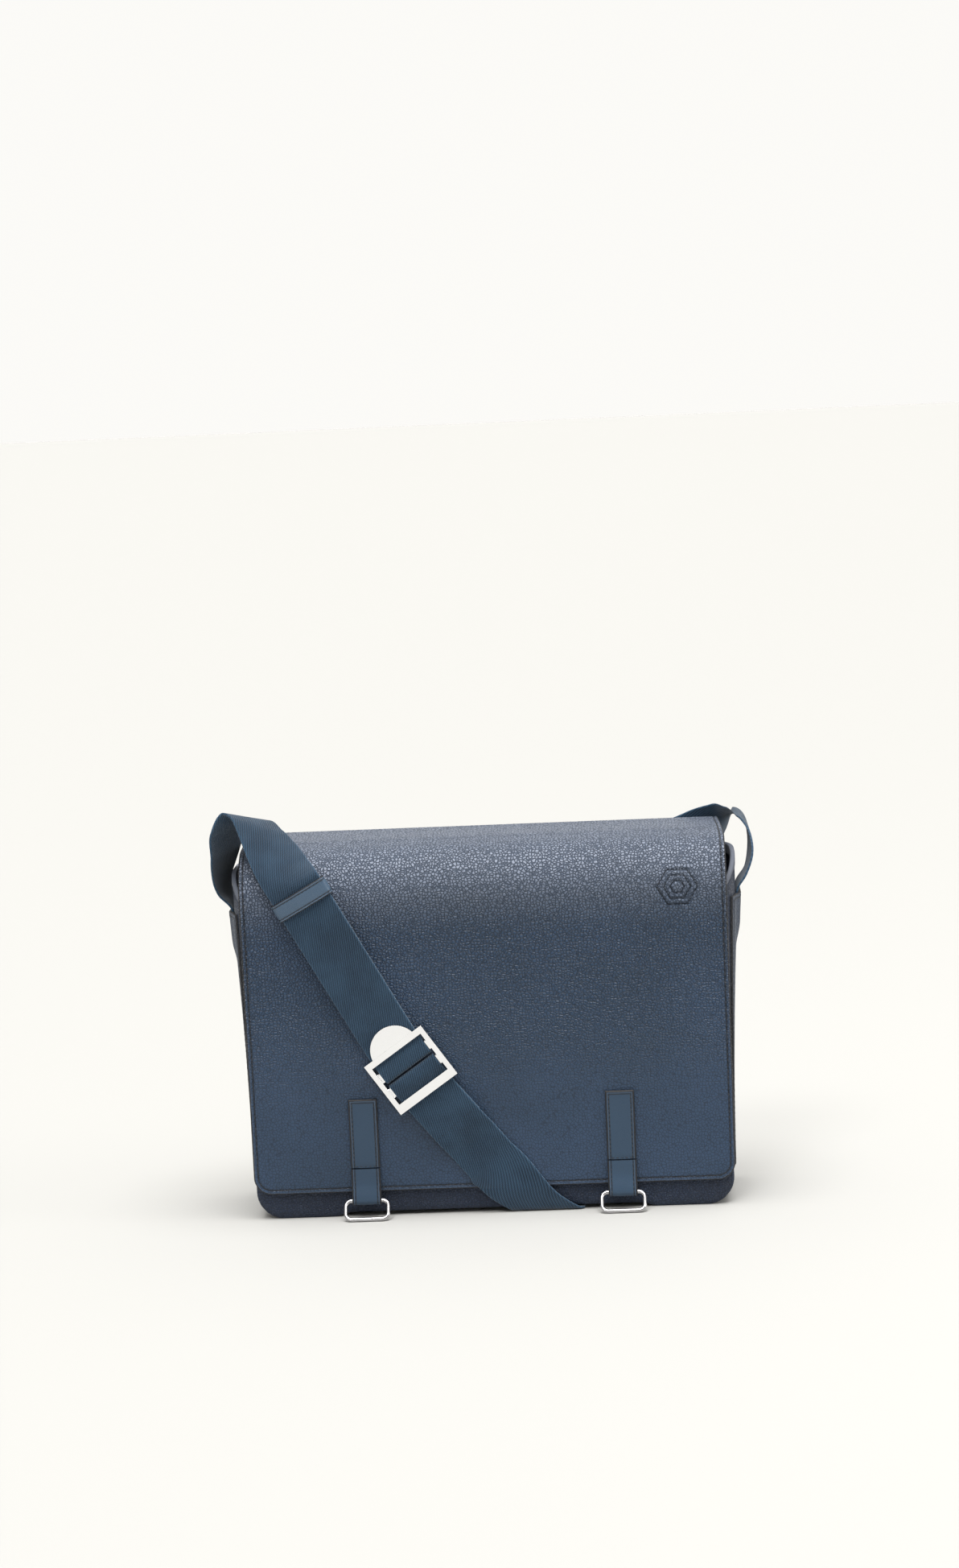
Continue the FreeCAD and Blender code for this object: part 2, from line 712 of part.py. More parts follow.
def buckle_frame():
    """Rectangular frame with a half-round thumb tab on its upper bar."""
    half, window = buckle_width / 2, buckle_width / 2 - buckle_side
    face = main_level + strap_thickness / 2 + strap_gap
    top = face + buckle_face
    plate = box(0, buckle_length, -half, half, buckle_floor, top)
    plate = plate.cut(box(buckle_top_bar, buckle_length - buckle_bottom_bar, -window, window, 0, top + 1))
    plate = plate.cut(box(-1, buckle_length + 1, -window + 0.7, window - 0.7, 0, face))
    disc = Part.makeCylinder(thumb_tab_radius, thumb_tab_thickness,
                             Vector(buckle_top_bar - 1, 0, face + 0.4))
    disc = disc.common(box(-99, buckle_top_bar, -99, 99, 0, 99))
    frame = plate.fuse(disc).removeSplitter()
    length = buckle_width - 2 * buckle_side + 2 * bar_tenon
    for centre in (slide_bar_at, loop_bar_at):
        frame = frame.cut(stadium_bar(centre, length))
    return placed(frame, buckle_head)


def strap_keeper():
    """Leather loop that holds the strap's tail against it."""
    half, reach = keeper_length / 2, strap_width / 2 + keeper_clearance
    inner_low, inner_high = keeper_leather + strap_gap, main_level + strap_thickness / 2 + strap_gap
    outer = box(-half, half, -reach - keeper_side, reach + keeper_side, strap_gap,
                inner_high + keeper_front_leather)
    rounded = outer.makeFillet(1.2, [e for e in outer.Edges if abs(e.tangentAt(0).x) > 0.9])
    return placed(rounded.cut(box(-half, half, -reach, reach, inner_low, inner_high)), upper)


def parts():
    """Every node's name and solid."""
    made = {
        "front_panel": front_panel(),
        "back_panel": back_panel(),
        "base_panel": base_panel(),
        "base_board": base_board(),
        "lining": lining(),
        "mouth_facing": mouth_facing(),
        "inner_pocket": inner_pocket(),
        "front_binding": front_binding(),
        "body_magnets": magnets(front_y + magnet_cover, front_y + panel_leather),
        "flap_back_strip": flap_back_strip(),
        "flap_shell": flap_shell(),
        "flap_lining": flap_lining(),
        "flap_magnets": magnets(flap_y + magnet_cover, flap_y + flap_leather),
        "strap_short": strap_short(),
        "strap_long": strap_long(),
        "strap_keeper": strap_keeper(),
        "buckle_frame": buckle_frame(),
        "buckle_slide_bar": buckle_bar(slide_bar_at),
        "buckle_loop_bar": buckle_bar(loop_bar_at),
    }
    for word, side in (("left", -1), ("right", 1)):
        made["gusset_" + word] = gusset(side)
        made["gusset_binding_" + word] = gusset_binding(side)
        made["gusset_patch_" + word] = gusset_patch(side)
        made["tab_" + word] = tab(side)
        made["tab_loop_" + word] = tab_loop(side)
        made["ring_" + word] = ring(side)
    return made


def main():
    os.makedirs("parts", exist_ok=True)
    for name, shape in parts().items():
        shape.exportStep("parts/" + name + ".step")
        print(f"{name:24s} {len(shape.Solids)} solid  {shape.Volume / 1000:8.2f} cm3  valid {shape.isValid()}")


main()
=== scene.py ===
import math

import bmesh
import bpy
import numpy as np
from mathutils import Euler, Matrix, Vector


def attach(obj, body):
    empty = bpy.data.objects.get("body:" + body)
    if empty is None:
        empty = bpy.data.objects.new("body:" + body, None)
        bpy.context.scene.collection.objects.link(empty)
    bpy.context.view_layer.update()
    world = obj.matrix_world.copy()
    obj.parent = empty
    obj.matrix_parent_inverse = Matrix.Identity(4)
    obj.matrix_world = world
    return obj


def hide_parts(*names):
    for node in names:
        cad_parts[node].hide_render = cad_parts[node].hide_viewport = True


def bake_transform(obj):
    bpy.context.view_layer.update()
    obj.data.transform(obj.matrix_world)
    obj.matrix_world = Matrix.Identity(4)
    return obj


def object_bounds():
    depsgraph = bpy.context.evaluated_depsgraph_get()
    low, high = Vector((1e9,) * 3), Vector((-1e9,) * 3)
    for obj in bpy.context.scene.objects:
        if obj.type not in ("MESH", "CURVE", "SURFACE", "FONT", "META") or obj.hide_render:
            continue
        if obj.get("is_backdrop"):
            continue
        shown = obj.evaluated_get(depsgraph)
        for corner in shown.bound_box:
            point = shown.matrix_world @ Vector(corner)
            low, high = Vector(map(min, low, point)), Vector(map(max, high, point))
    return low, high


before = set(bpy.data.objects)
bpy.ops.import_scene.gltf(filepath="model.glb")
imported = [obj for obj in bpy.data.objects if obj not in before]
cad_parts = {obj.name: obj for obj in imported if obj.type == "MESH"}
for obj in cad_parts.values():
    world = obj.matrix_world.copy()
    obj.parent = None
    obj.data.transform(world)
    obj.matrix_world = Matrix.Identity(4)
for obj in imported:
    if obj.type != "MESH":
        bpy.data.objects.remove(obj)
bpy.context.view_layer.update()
mm = 0.001
print("frame loaded")


# Meshes. Every shape is worked out in millimetres and put in the mesh in metres.

def gridFaces(rows, cols, wrapRows=False, wrapCols=False, start=0):
    # Quads of a grid whose vertices run along the rows. A wrapped side joins its last line to its first.
    r = np.arange(rows if wrapRows else rows - 1)[:, None]
    c = np.arange(cols if wrapCols else cols - 1)[None, :]
    nextR, nextC = (r + 1) % rows, (c + 1) % cols
    quads = np.stack([r * cols + c, r * cols + nextC, nextR * cols + nextC, nextR * cols + c], -1)
    return quads.reshape(-1, 4) + start


def addObject(name, data):
    made = bpy.data.objects.new(name, data)
    bpy.context.collection.objects.link(made)
    return made


def makePiece(name, points, faces, material, body=None, slot=None, stands=(), uv=None, inset=None, sharp=48):
    mesh = bpy.data.meshes.new(name)
    mesh.from_pydata((np.asarray(points).reshape(-1, 3) * mm).tolist(), [], [list(map(int, f)) for f in faces])
    if inset is not None:  # distance in from the leather's edge, in millimetres
        mesh.attributes.new("inset", "FLOAT", "POINT").data.foreach_set("value", np.ravel(inset).astype(np.float32))
    if uv is not None:
        layer = mesh.uv_layers.new(name="weave")
        corners = np.empty(len(mesh.loops), np.int32)
        mesh.loops.foreach_get("vertex_index", corners)
        layer.data.foreach_set("uv", np.asarray(uv, np.float32).reshape(-1, 2)[corners].ravel())
    work = bmesh.new()
    work.from_mesh(mesh)
    bmesh.ops.remove_doubles(work, verts=work.verts, dist=2e-6)
    bmesh.ops.recalc_face_normals(work, faces=work.faces)
    work.to_mesh(mesh)
    work.free()
    mesh.shade_smooth()
    mesh.set_sharp_from_angle(angle=math.radians(sharp))
    mesh.materials.append(material)
    piece = addObject(name, mesh)
    if stands:
        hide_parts(*stands)
    if body:
        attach(piece, body)
    return piece


def shellFaces(rows, cols, wrapCols=False):
    # Two grids, one under the other, joined round their rims.
    count = rows * cols
    outer = gridFaces(rows, cols, wrapCols=wrapCols)
    inner = gridFaces(rows, cols, wrapCols=wrapCols, start=count)[:, ::-1]
    rims = []
    around = np.arange(cols if wrapCols else cols - 1)
    follow = (around + 1) % cols
    for row, turn in ((0, 1), (rows - 1, -1)):
        rim = np.stack([row * cols + around, row * cols + around + count,
                        row * cols + follow + count, row * cols + follow], -1)
        rims.append(rim[:, ::turn])
    if not wrapCols:
        down = np.arange(rows - 1)
        for col, turn in ((0, -1), (cols - 1, 1)):
            rim = np.stack([down * cols + col, down * cols + col + count,
                            (down + 1) * cols + col + count, (down + 1) * cols + col], -1)
            rims.append(rim[:, ::turn])
    return np.vstack([outer, inner] + rims)


def shellPiece(name, outer, inner, material, inset=None, wrapCols=False, **rest):
    rows, cols = outer.shape[:2]
    both = None if inset is None else np.concatenate([np.ravel(inset), np.ravel(inset)])
    return makePiece(name, np.concatenate([outer.reshape(-1, 3), inner.reshape(-1, 3)]),
                     shellFaces(rows, cols, wrapCols), material, inset=both, **rest)


def sweep(centres, sideways, outwards, profile):
    # A profile's first number goes sideways and its second outwards from each point of the path.
    return (centres[:, None, :] + sideways[:, None, :] * profile[None, :, :1]
            + outwards[:, None, :] * profile[None, :, 1:])


def sweptPiece(name, grid, material, closed=False, uv=None, inset=None, **rest):
    rows, cols = grid.shape[:2]
    faces = [list(f) for f in gridFaces(rows, cols, wrapRows=closed, wrapCols=True)]
    if not closed:
        faces += [list(range(cols)), list(range((rows - 1) * cols, rows * cols))[::-1]]
    return makePiece(name, grid, faces, material, uv=uv, inset=inset, **rest)


def smoothStep(low, high, value):
    # 0 below the low value, 1 above the high one, and 3t^2 - 2t^3 between them.
    t = np.clip((value - low) / (high - low), 0, 1)
    return t * t * (3 - 2 * t)


def unit(v):
    return v / np.linalg.norm(v, axis=-1, keepdims=True)


def distances(points):
    return np.concatenate([[0.0], np.cumsum(np.linalg.norm(np.diff(points, axis=0), axis=1))])


def placesAt(s, run, points):
    # Places at distances s along points whose own distances are run.
    return np.stack([np.interp(s, run, points[:, k]) for k in range(points.shape[1])], -1)


def headingsAt(s, run, points, reach):
    return unit(placesAt(s + reach, run, points) - placesAt(s - reach, run, points))


def repeated(direction, count):
    return np.tile(np.array(direction, float), (count, 1))


def roundedPath(corners, radii, spacing=0.6):
    # Straight runs joined by arcs: an arc's points turn evenly from the first run to the next.
    corners = np.array(corners, float)
    parts = [corners[:1]]
    for before, corner, after, radius in zip(corners, corners[1:], corners[2:], radii):
        a, b = unit(before - corner), unit(after - corner)
        half = math.acos(float(np.clip(a @ b, -1, 1))) / 2
        centre = corner + unit(a + b) * radius / math.sin(half)
        first, last = corner + a * radius / math.tan(half), corner + b * radius / math.tan(half)
        turn = math.pi - 2 * half
        t = np.linspace(0, 1, max(7, int(turn * radius / spacing)))[:, None]
        parts.append(centre + (np.sin((1 - t) * turn) * (first - centre) + np.sin(t * turn) * (last - centre))
                     / math.sin(turn))
    parts.append(corners[-1:])
    return np.vstack(parts)


def alongPath(path, s):
    # Places and headings at given distances along a path.
    length = distances(path)
    return placesAt(s, length, path), headingsAt(s, length, path, 0.4)


def closedLoop(corners, radii, spacing, count):
    # Points evenly along a path with round corners that ends where it starts.
    path = roundedPath(corners, radii, spacing)
    run = distances(path)
    return placesAt(np.linspace(0, run[-1], count, endpoint=False), run, path)


def loopHeadings(points):
    return unit(np.roll(points, -1, axis=0) - np.roll(points, 1, axis=0))


sides = ((-1, "left"), (1, "right"))
edgeSteps = np.array([0, 0.15, 0.4, 0.8, 1.3, 1.9, 2.5, 2.9, 3.3, 3.7, 4.2, 4.9, 6.0, 8.0, 11.0])


def spread(halfWidths, middle, steps=edgeSteps):
    # Columns of a panel for each row: fixed distances in from both edges, and fractions between them.
    reach = halfWidths - steps[-1]
    return np.hstack([-halfWidths[:, None] + steps, reach[:, None] * middle,
                      halfWidths[:, None] - steps[::-1]])


def insideBy(x, down, halfWidth, length, radius):
    # Distance in from a panel's outline, which has two round corners at its lower end.
    across, below = np.abs(x) - (halfWidth - radius), down - (length - radius)
    return radius - np.hypot(np.maximum(across, 0), np.maximum(below, 0)) - np.minimum(
        np.maximum(across, below), 0)


def rowHalfWidths(down, halfWidth, length, radius):
    # Half the width of a panel at each height: full, then the square root of a circle round the corner.
    below = np.clip(down - (length - radius), 0, radius)
    return halfWidth - radius + np.sqrt(np.maximum(radius ** 2 - below ** 2, 0))


def rolled(inset, radius, depth):
    # Drop of an edge that is rolled over: a quarter of an ellipse.
    t = np.clip((radius - inset) / radius, 0, 1)
    return -depth * (1 - np.sqrt(np.maximum(1 - t * t, 0)))


def groove(inset, at, width, depth):
    # A bell-shaped trough along a line one distance in from the edge.
    return -depth * np.exp(-((inset - at) / width) ** 2)


# Materials

def newMaterial(name):
    material = bpy.data.materials.new(name)
    material.use_nodes = True
    tree = material.node_tree
    return material, tree, tree.nodes["Principled BSDF"]


def addNode(tree, kind, settings=None, **sockets):
    node = tree.nodes.new(kind)
    for key, value in (settings or {}).items():
        setattr(node, key, value)
    for key, value in sockets.items():
        target = node.inputs[int(key[1:])] if key[0] == "i" and key[1:].isdigit() else node.inputs[key]
        if isinstance(value, bpy.types.NodeSocket):
            tree.links.new(value, target)
        else:
            target.default_value = value
    return node


def calc(tree, operation, a, b=0.0):
    return addNode(tree, "ShaderNodeMath", {"operation": operation}, i0=a, i1=b).outputs[0]


def plus(tree, a, b):
    return calc(tree, "ADD", a, b)


def times(tree, a, b):
    return calc(tree, "MULTIPLY", a, b)


def offFrom(tree, value, middle):
    # Distance of a value from a middle, on either side.
    return calc(tree, "ABSOLUTE", calc(tree, "SUBTRACT", value, middle))


def objectPlace(tree):
    return addNode(tree, "ShaderNodeTexCoord").outputs["Object"]


def darkened(tree, colour, share):
    return mixColour(tree, 1.0, colour, grey(tree, share), "MULTIPLY")


def finishShader(tree, shader, colour, gloss, relief, depth, height, **sockets):
    # Joins a pattern's colour, roughness and relief to the shader, and sets its other sockets.
    bump = addNode(tree, "ShaderNodeBump", Strength=relief, Distance=depth, Height=height)
    for socket, value in (("Base Color", colour), ("Roughness", gloss), ("Normal", bump.outputs[0])):
        tree.links.new(value, shader.inputs[socket])
    for socket, value in sockets.items():
        shader.inputs[socket.replace("_", " ")].default_value = value


def remap(tree, value, low, high, toLow, toHigh, smooth=True):
    node = addNode(tree, "ShaderNodeMapRange", {"interpolation_type": "SMOOTHSTEP" if smooth else "LINEAR"},
                   i0=value, i1=low, i2=high, i3=toLow, i4=toHigh)
    return node.outputs[0]


def mixColour(tree, factor, a, b, kind="MIX"):
    node = tree.nodes.new("ShaderNodeMix")
    node.data_type, node.blend_type = "RGBA", kind
    for index, value in ((0, factor), (6, a), (7, b)):
        if isinstance(value, bpy.types.NodeSocket):
            tree.links.new(value, node.inputs[index])
        else:
            node.inputs[index].default_value = value
    return node.outputs[2]


def rgb(r, g, b):
    return (r, g, b, 1.0)


def grey(tree, value):
    return addNode(tree, "ShaderNodeCombineColor", Red=value, Green=value, Blue=value).outputs[0]


def noise(tree, where, scale, detail=2.0, rough=0.5):
    return addNode(tree, "ShaderNodeTexNoise", Vector=where, Scale=scale, Detail=detail, Roughness=rough)


def leather(name, tone, light, cell=1.7, relief=0.5, rough=0.42, paint=None, seam=None, fade=None, creases=0.3,
            paintedSheen=None):
    # Pebbled grain: cells with soft creases between them, bent by a fine noise.
    material, tree, shader = newMaterial(name)
    where = objectPlace(tree)
    bend = noise(tree, where, 300, 1.5).outputs["Color"]
    shift = addNode(tree, "ShaderNodeVectorMath", {"operation": "MULTIPLY_ADD"}, i0=bend,
                    i1=(0.0011, 0.0011, 0.0011), i2=where).outputs[0]
    cells = addNode(tree, "ShaderNodeTexVoronoi", {"feature": "DISTANCE_TO_EDGE"}, Vector=shift,
                    Scale=1000 / cell, Randomness=0.9).outputs["Distance"]
    bead = remap(tree, cells, 0.0, 0.22, 0.0, 1.0)
    pores = noise(tree, where, 2600).outputs[0]
    drift = noise(tree, where, 260, 3.0).outputs[0]
    height = plus(tree, bead, plus(tree, times(tree, pores, 0.25), times(tree, drift, 0.6)))
    broad = remap(tree, noise(tree, where, 11, 3.0).outputs[0], 0.3, 0.7, 0.0, 1.0)
    colour = mixColour(tree, broad, rgb(*tone), rgb(*light))
    # painted shade: the creases between the beads are darkened by the share given in creases
    colour = darkened(tree, colour, remap(tree, bead, 0.0, 0.8, 1.0 - creases, 1.0))
    gloss = remap(tree, bead, 0.0, 1.0, min(rough + 0.18, 1), rough)
    gloss = plus(tree, gloss, remap(tree, drift, 0.3, 0.7, -0.03, 0.05))
    z = addNode(tree, "ShaderNodeSeparateXYZ", Vector=where).outputs["Z"]
    inset = addNode(tree, "ShaderNodeAttribute", {"attribute_name": "inset"}).outputs["Fac"]
    # painted highlight: the beads' tops are painted lighter between two heights, for the light from above on the
    # flap's shoulder
    if paintedSheen:  # the beads' tops get lighter between two heights
        low, high, pale = paintedSheen
        crown = times(tree, remap(tree, z, low, high, 0.0, 1.0), remap(tree, bead, 0.2, 1.0, 0.25, 1.0))
        colour = mixColour(tree, crown, colour, rgb(*pale))
    if fade:  # the grain is flatter below
        low, high, share = fade
        relief = remap(tree, z, low, high, relief * share, relief)
    # painted shade: darker along the stitch groove one distance in from the edge, and in the flap's pressed emblem
    # lines, which get the same inset
    if seam:
        at, width = seam
        colour = darkened(tree, colour, remap(tree, offFrom(tree, inset, at), 0.2, width, 0.3, 1.0))
    if paint:
        *paintTone, reach = paint
        wear = plus(tree, inset, remap(tree, drift, 0.3, 0.7, -0.12, 0.12))
        edge = remap(tree, wear, reach * 0.8, reach * 1.15, 1.0, 0.0)
        colour = mixColour(tree, edge, colour, rgb(*paintTone))
        # painted highlight: a pale grey line just inside the edge paint, along the rolled edge
        line = remap(tree, offFrom(tree, wear, reach * 1.35), 0.0, 0.3, 0.13, 0.0)
        colour = mixColour(tree, line, colour, rgb(0.28, 0.28, 0.33))
    finishShader(tree, shader, colour, gloss, relief, 0.0009, height, Specular_IOR_Level=0.45, Sheen_Weight=0.04)
    return material


def cloth(name, tone, light, twill=None, rough=0.85, relief=0.6, pitch=0.9):
    # A weave is two crossing rows of threads: along its own map for the strap, along the axes for a lining.
    material, tree, shader = newMaterial(name)
    where = objectPlace(tree)
    if twill:
        acrossRate, alongRate, slubRate = twill
        place = addNode(tree, "ShaderNodeUVMap", {"uv_map": "weave"}).outputs[0]
        across, along, _ = addNode(tree, "ShaderNodeSeparateXYZ", Vector=place).outputs
        slant = plus(tree, times(tree, across, acrossRate), times(tree, along, alongRate))
        rib = remap(tree, calc(tree, "SINE", slant), -1, 1, 0, 1, False)
        slub = times(tree, calc(tree, "SINE", times(tree, along, slubRate)),
                     calc(tree, "SINE", times(tree, across, slubRate)))
        height = plus(tree, rib, times(tree, slub, 0.5))
        selvedge = remap(tree, offFrom(tree, across, 0.5), 0.465, 0.488, 0.0, 0.2)
    else:
        turns = 2 * math.pi / (pitch * mm)
        x, y, z = [calc(tree, "SINE", times(tree, axis, turns))
                   for axis in addNode(tree, "ShaderNodeSeparateXYZ", Vector=where).outputs]
        height = remap(tree, plus(tree, plus(tree, x, y), z), -2, 2, 0, 1, False)
        selvedge = 0.0
    fuzz = noise(tree, where, 1800, 3.0).outputs[0]
    broad = remap(tree, noise(tree, where, 45, 3.0).outputs[0], 0.3, 0.7, 0.0, 1.0)
    blend = plus(tree, times(tree, height, 0.62), times(tree, broad, 0.25))
    blend = plus(tree, blend, times(tree, fuzz, 0.2))
    colour = mixColour(tree, blend, rgb(*tone), rgb(*light))
    colour = mixColour(tree, selvedge, colour, rgb(*[min(1, c * 2.2) for c in light]))
    gloss = remap(tree, fuzz, 0.3, 0.7, rough - 0.08, min(rough + 0.08, 1))
    finishShader(tree, shader, colour, gloss, relief, 0.00025, plus(tree, height, times(tree, fuzz, 0.4)),
                 Sheen_Weight=0.25, Sheen_Roughness=0.5, Specular_IOR_Level=0.25)
    return material


def metal(name, tone, rough):
    material, tree, shader = newMaterial(name)
    where = objectPlace(tree)
    fine = noise(tree, where, 900, 4.0, 0.6).outputs[0]
    smear = noise(tree, where, 60).outputs[0]
    gloss = plus(tree, remap(tree, fine, 0.3, 0.7, -0.02, 0.03),
                 remap(tree, smear, 0.3, 0.7, rough, rough + 0.08))
    colour = mixColour(tree, smear, rgb(*[c * 0.93 for c in tone]), rgb(*tone))
    finishShader(tree, shader, colour, gloss, 0.05, 0.0001, fine, Metallic=1.0)
    return material


edgePaint = (0.006, 0.007, 0.010)
# The flap's leather gets a painted highlight on the bead tops of its shoulder and a painted highlight line inside its
# edge paint. It also gets painted shade in its stitch groove and emblem lines.
flapLeather = leather("flapLeather", (0.015, 0.038, 0.078), (0.022, 0.050, 0.102), 2.2, 1.0, 0.34,
                      paint=(*edgePaint, 0.95), seam=(3.3, 1.0), fade=(0.05, 0.23, 0.3), creases=0.45,
                      paintedSheen=(0.203, 0.262, (0.17, 0.20, 0.265)))
# painted shade: the body's panels, gussets and base take a darker copy of the flap's leather, for the shade under the
# flap
shadedBodyLeather = leather("shadedBodyLeather", (0.007, 0.016, 0.040), (0.011, 0.023, 0.053), 1.9, 0.6, 0.45, creases=0.4)
edgedLeather = leather("edgedLeather", (0.014, 0.030, 0.058), (0.020, 0.040, 0.078), 1.9, 0.6, 0.44,
                       paint=(*edgePaint, 0.7), seam=(3.3, 0.9))
tabLeather = leather("tabLeather", (0.018, 0.043, 0.080), (0.023, 0.053, 0.096), 0.8, 0.12, 0.34,
                     paint=(*edgePaint, 1.15), seam=(2.5, 0.7), creases=0.06)
keeperLeather = leather("keeperLeather", (0.042, 0.078, 0.125), (0.054, 0.094, 0.148), 0.8, 0.12, 0.2,
                        paint=(0.010, 0.010, 0.013, 0.7), seam=(2.0, 0.6), creases=0.06)
bindingLeather = leather("bindingLeather", (0.080, 0.090, 0.118), (0.105, 0.118, 0.150), 0.9, 0.2, 0.5, creases=0.1)
webbing = cloth("webbing", (0.000, 0.006, 0.017), (0.029, 0.068, 0.118), twill=(-150.0, 66.0, 210.0), relief=1.0)
liningCloth = cloth("liningCloth", (0.030, 0.034, 0.045), (0.055, 0.060, 0.075))
threadCloth = cloth("threadCloth", (0.004, 0.006, 0.011), (0.010, 0.014, 0.024), rough=0.6, pitch=0.35)
steel = metal("steel", (0.93, 0.93, 0.94), 0.06)
# painted shade: the rings take a darker copy of the buckle's steel, for the shade they sit in at the foot of the bag
shadedRingSteel = metal("shadedRingSteel", (0.50, 0.49, 0.50), 0.14)
magnetSteel = metal("magnetSteel", (0.55, 0.55, 0.57), 0.3)
boardStuff = cloth("boardStuff", (0.10, 0.08, 0.06), (0.20, 0.17, 0.13), rough=0.9, relief=0.2, pitch=1.6)
print("materials ready")


# Sizes of the body and the flap, in millimetres

body = {"half": 174.0, "front": -48.7, "back": 43.3, "middle": -2.7, "leather": 2.5, "corner": 20.0,
        "lift": 3.0, "liftEnd": 106.0, "liftFoot": 118.0, "frontTop": 233.3, "backTop": 266.0, "gussetTop": 253.0}
flap = {"half": 175.0, "waist": 172.0, "taperFrom": -22.7, "fold": 45.7, "top": 272.05, "crown": (-5.4, 270.5),
        "front": -52.5, "shoulder": 263.0, "bottom": 19.0, "corner": 13.0, "leather": 2.2, "stripFoot": 226.6,
        "seam": 3.3, "waver": 0.35}
emblem = {"x": 139.6, "z": 234.5, "rings": (12.6, 8.4, 4.4), "width": 1.0, "depth": 1.1}


def bulge(y, z):
    # The strap pulls each gusset out: a power of the height times a flat-topped curve over the depth.
    grown = np.clip((z - 30.0) / 198.0, 0, 1)
    return 8.0 * grown ** 1.6 * (1 - np.clip(np.abs((y - body["middle"]) / 43.5), 0, 1) ** 4)


def waver(x, z, size, seed=0.0):
    # A few long waves added up, so that leather isn't dead flat. It only goes inwards.
    wave = (np.sin(x / 61.0 + 1.3 + seed) * np.cos(z / 47.0 - 0.6 + seed)
            + np.sin(x / 33.0 - z / 41.0 + seed) * 0.5 + np.sin(x / 19.0 + z / 27.0 + 2.0 * seed) * 0.22)
    return -size * (0.5 + wave / 3.44)


# Flap

flapPath = roundedPath([(flap["fold"], flap["stripFoot"]), (flap["fold"], flap["top"]), flap["crown"],
                        (flap["front"], flap["shoulder"]), (flap["front"], flap["bottom"])], [4.0, 60.0, 36.0])
flapLength = distances(flapPath)[-1]


def flapWidths(s):
    # Half the width along the flap, narrowing evenly from the fold to the back strip.
    at, _ = alongPath(flapPath, s)
    narrow = np.clip((at[..., 0] - flap["taperFrom"]) / (flap["fold"] - flap["taperFrom"]), 0, 1)
    return flap["half"] - (flap["half"] - flap["waist"]) * narrow


def onFlap(x, s, level):
    # A place on the flap: along its profile from the back strip to its lower edge, and off its outer face.
    at, heading = alongPath(flapPath, s)
    out = np.stack([heading[..., 1], -heading[..., 0]], -1)
    return np.stack([x, at[..., 0] + out[..., 0] * level, at[..., 1] + out[..., 1] * level], -1)


def hexDistance(x, z):
    # The largest of the distances along a hexagon's normals.
    x, z = np.abs(x), np.abs(z)
    return np.maximum(z, x * math.cos(math.radians(30)) + z * 0.5)


def emblemLines(x, s):
    # 1 on the lines of nested hexagons, falling to 0 beside them.
    h = hexDistance(x - emblem["x"], s - emblemAt)
    return sum(np.exp(-((h - ring) / emblem["width"]) ** 2) for ring in emblem["rings"])


lengths = distances(flapPath)
frontPart = flapPath[:, 0] < -30
emblemAt = float(np.interp(-emblem["z"], -flapPath[frontPart, 1], lengths[frontPart]))


def flapWaver(x, s):
    # The waver starts a little after the fold.
    return waver(x, s, flap["waver"]) * smoothStep(60, 130, s)


def flapSheet(rows, columns, margin, outerLevel, innerLevel, reliefOn):
    # Outer and inner face of the flap or its lining, and the distance in from the edge.
    corner = flap["corner"] - margin
    x = spread(rowHalfWidths(rows, flapWidths(rows) - margin, flapLength - margin, corner), columns)
    s = np.broadcast_to(rows[:, None], x.shape)
    inset = insideBy(x, s, (flapWidths(rows) - margin)[:, None], flapLength - margin, corner)
    height, low = outerLevel + flapWaver(x, s), innerLevel + flapWaver(x, s)
    if reliefOn:
        height = height + rolled(inset, 0.9, 0.9) + groove(inset, flap["seam"], 0.55, 0.45)
        height = height - emblem["depth"] * emblemLines(x, s)
        low = low - rolled(inset, 0.5, 0.5)
        # painted shade: the emblem's pressed lines take the stitch groove's inset, so the material darkens them as it
        # does the groove
        inset = np.minimum(inset, flap["seam"] + 0.25 + 8 * (1 - emblemLines(x, s)) ** 2)
    return onFlap(x, s, height), onFlap(x, s, low), inset


reach = flap["half"] - edgeSteps[-1]
emblemColumns = np.arange(emblem["x"] - 15.5, emblem["x"] + 15.6, 0.5) / reach
columns = np.concatenate([np.linspace(-0.99, emblemColumns[0] - 0.02, 52), emblemColumns,
                          np.linspace(emblemColumns[-1] + 0.01, 0.99, 3)])
rows = np.concatenate([np.arange(0, 34, 4.0), np.arange(34, 60, 1.0), np.arange(60, emblemAt - 16, 3.0),
                       np.arange(emblemAt - 15.5, emblemAt + 15.6, 0.5),
                       np.arange(emblemAt + 17, flapLength - 13.5, 3.2),
                       np.linspace(flapLength - 13, flapLength - 7, 8), flapLength - edgeSteps[::-1][3:]])
outer, inner, inset = flapSheet(rows, columns, 0.0, 0.0, -flap["leather"], True)
flapPiece = shellPiece("flap_leather", outer, inner, flapLeather, inset=np.minimum(inset, 20),
                       slot="grained_leather", stands=("flap_shell", "flap_back_strip"))
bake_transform(flapPiece)

liningFrom = float(np.interp(-38.0, -flapPath[:, 0], lengths))
rows = np.concatenate([np.arange(liningFrom, flapLength - 14, 4.0),
                       np.linspace(flapLength - 13.6, flapLength - 0.6, 14)])
outer, inner, _ = flapSheet(rows, np.linspace(-0.97, 0.97, 60), 0.6, -flap["leather"] - 0.04,
                                -flap["leather"] - 0.74, False)
flapLiningPiece = shellPiece("flap_lining_cloth", outer, inner, liningCloth, slot="lining_cloth", body="flap",
                             stands=("flap_lining",))
print("flap made")


# Stitches

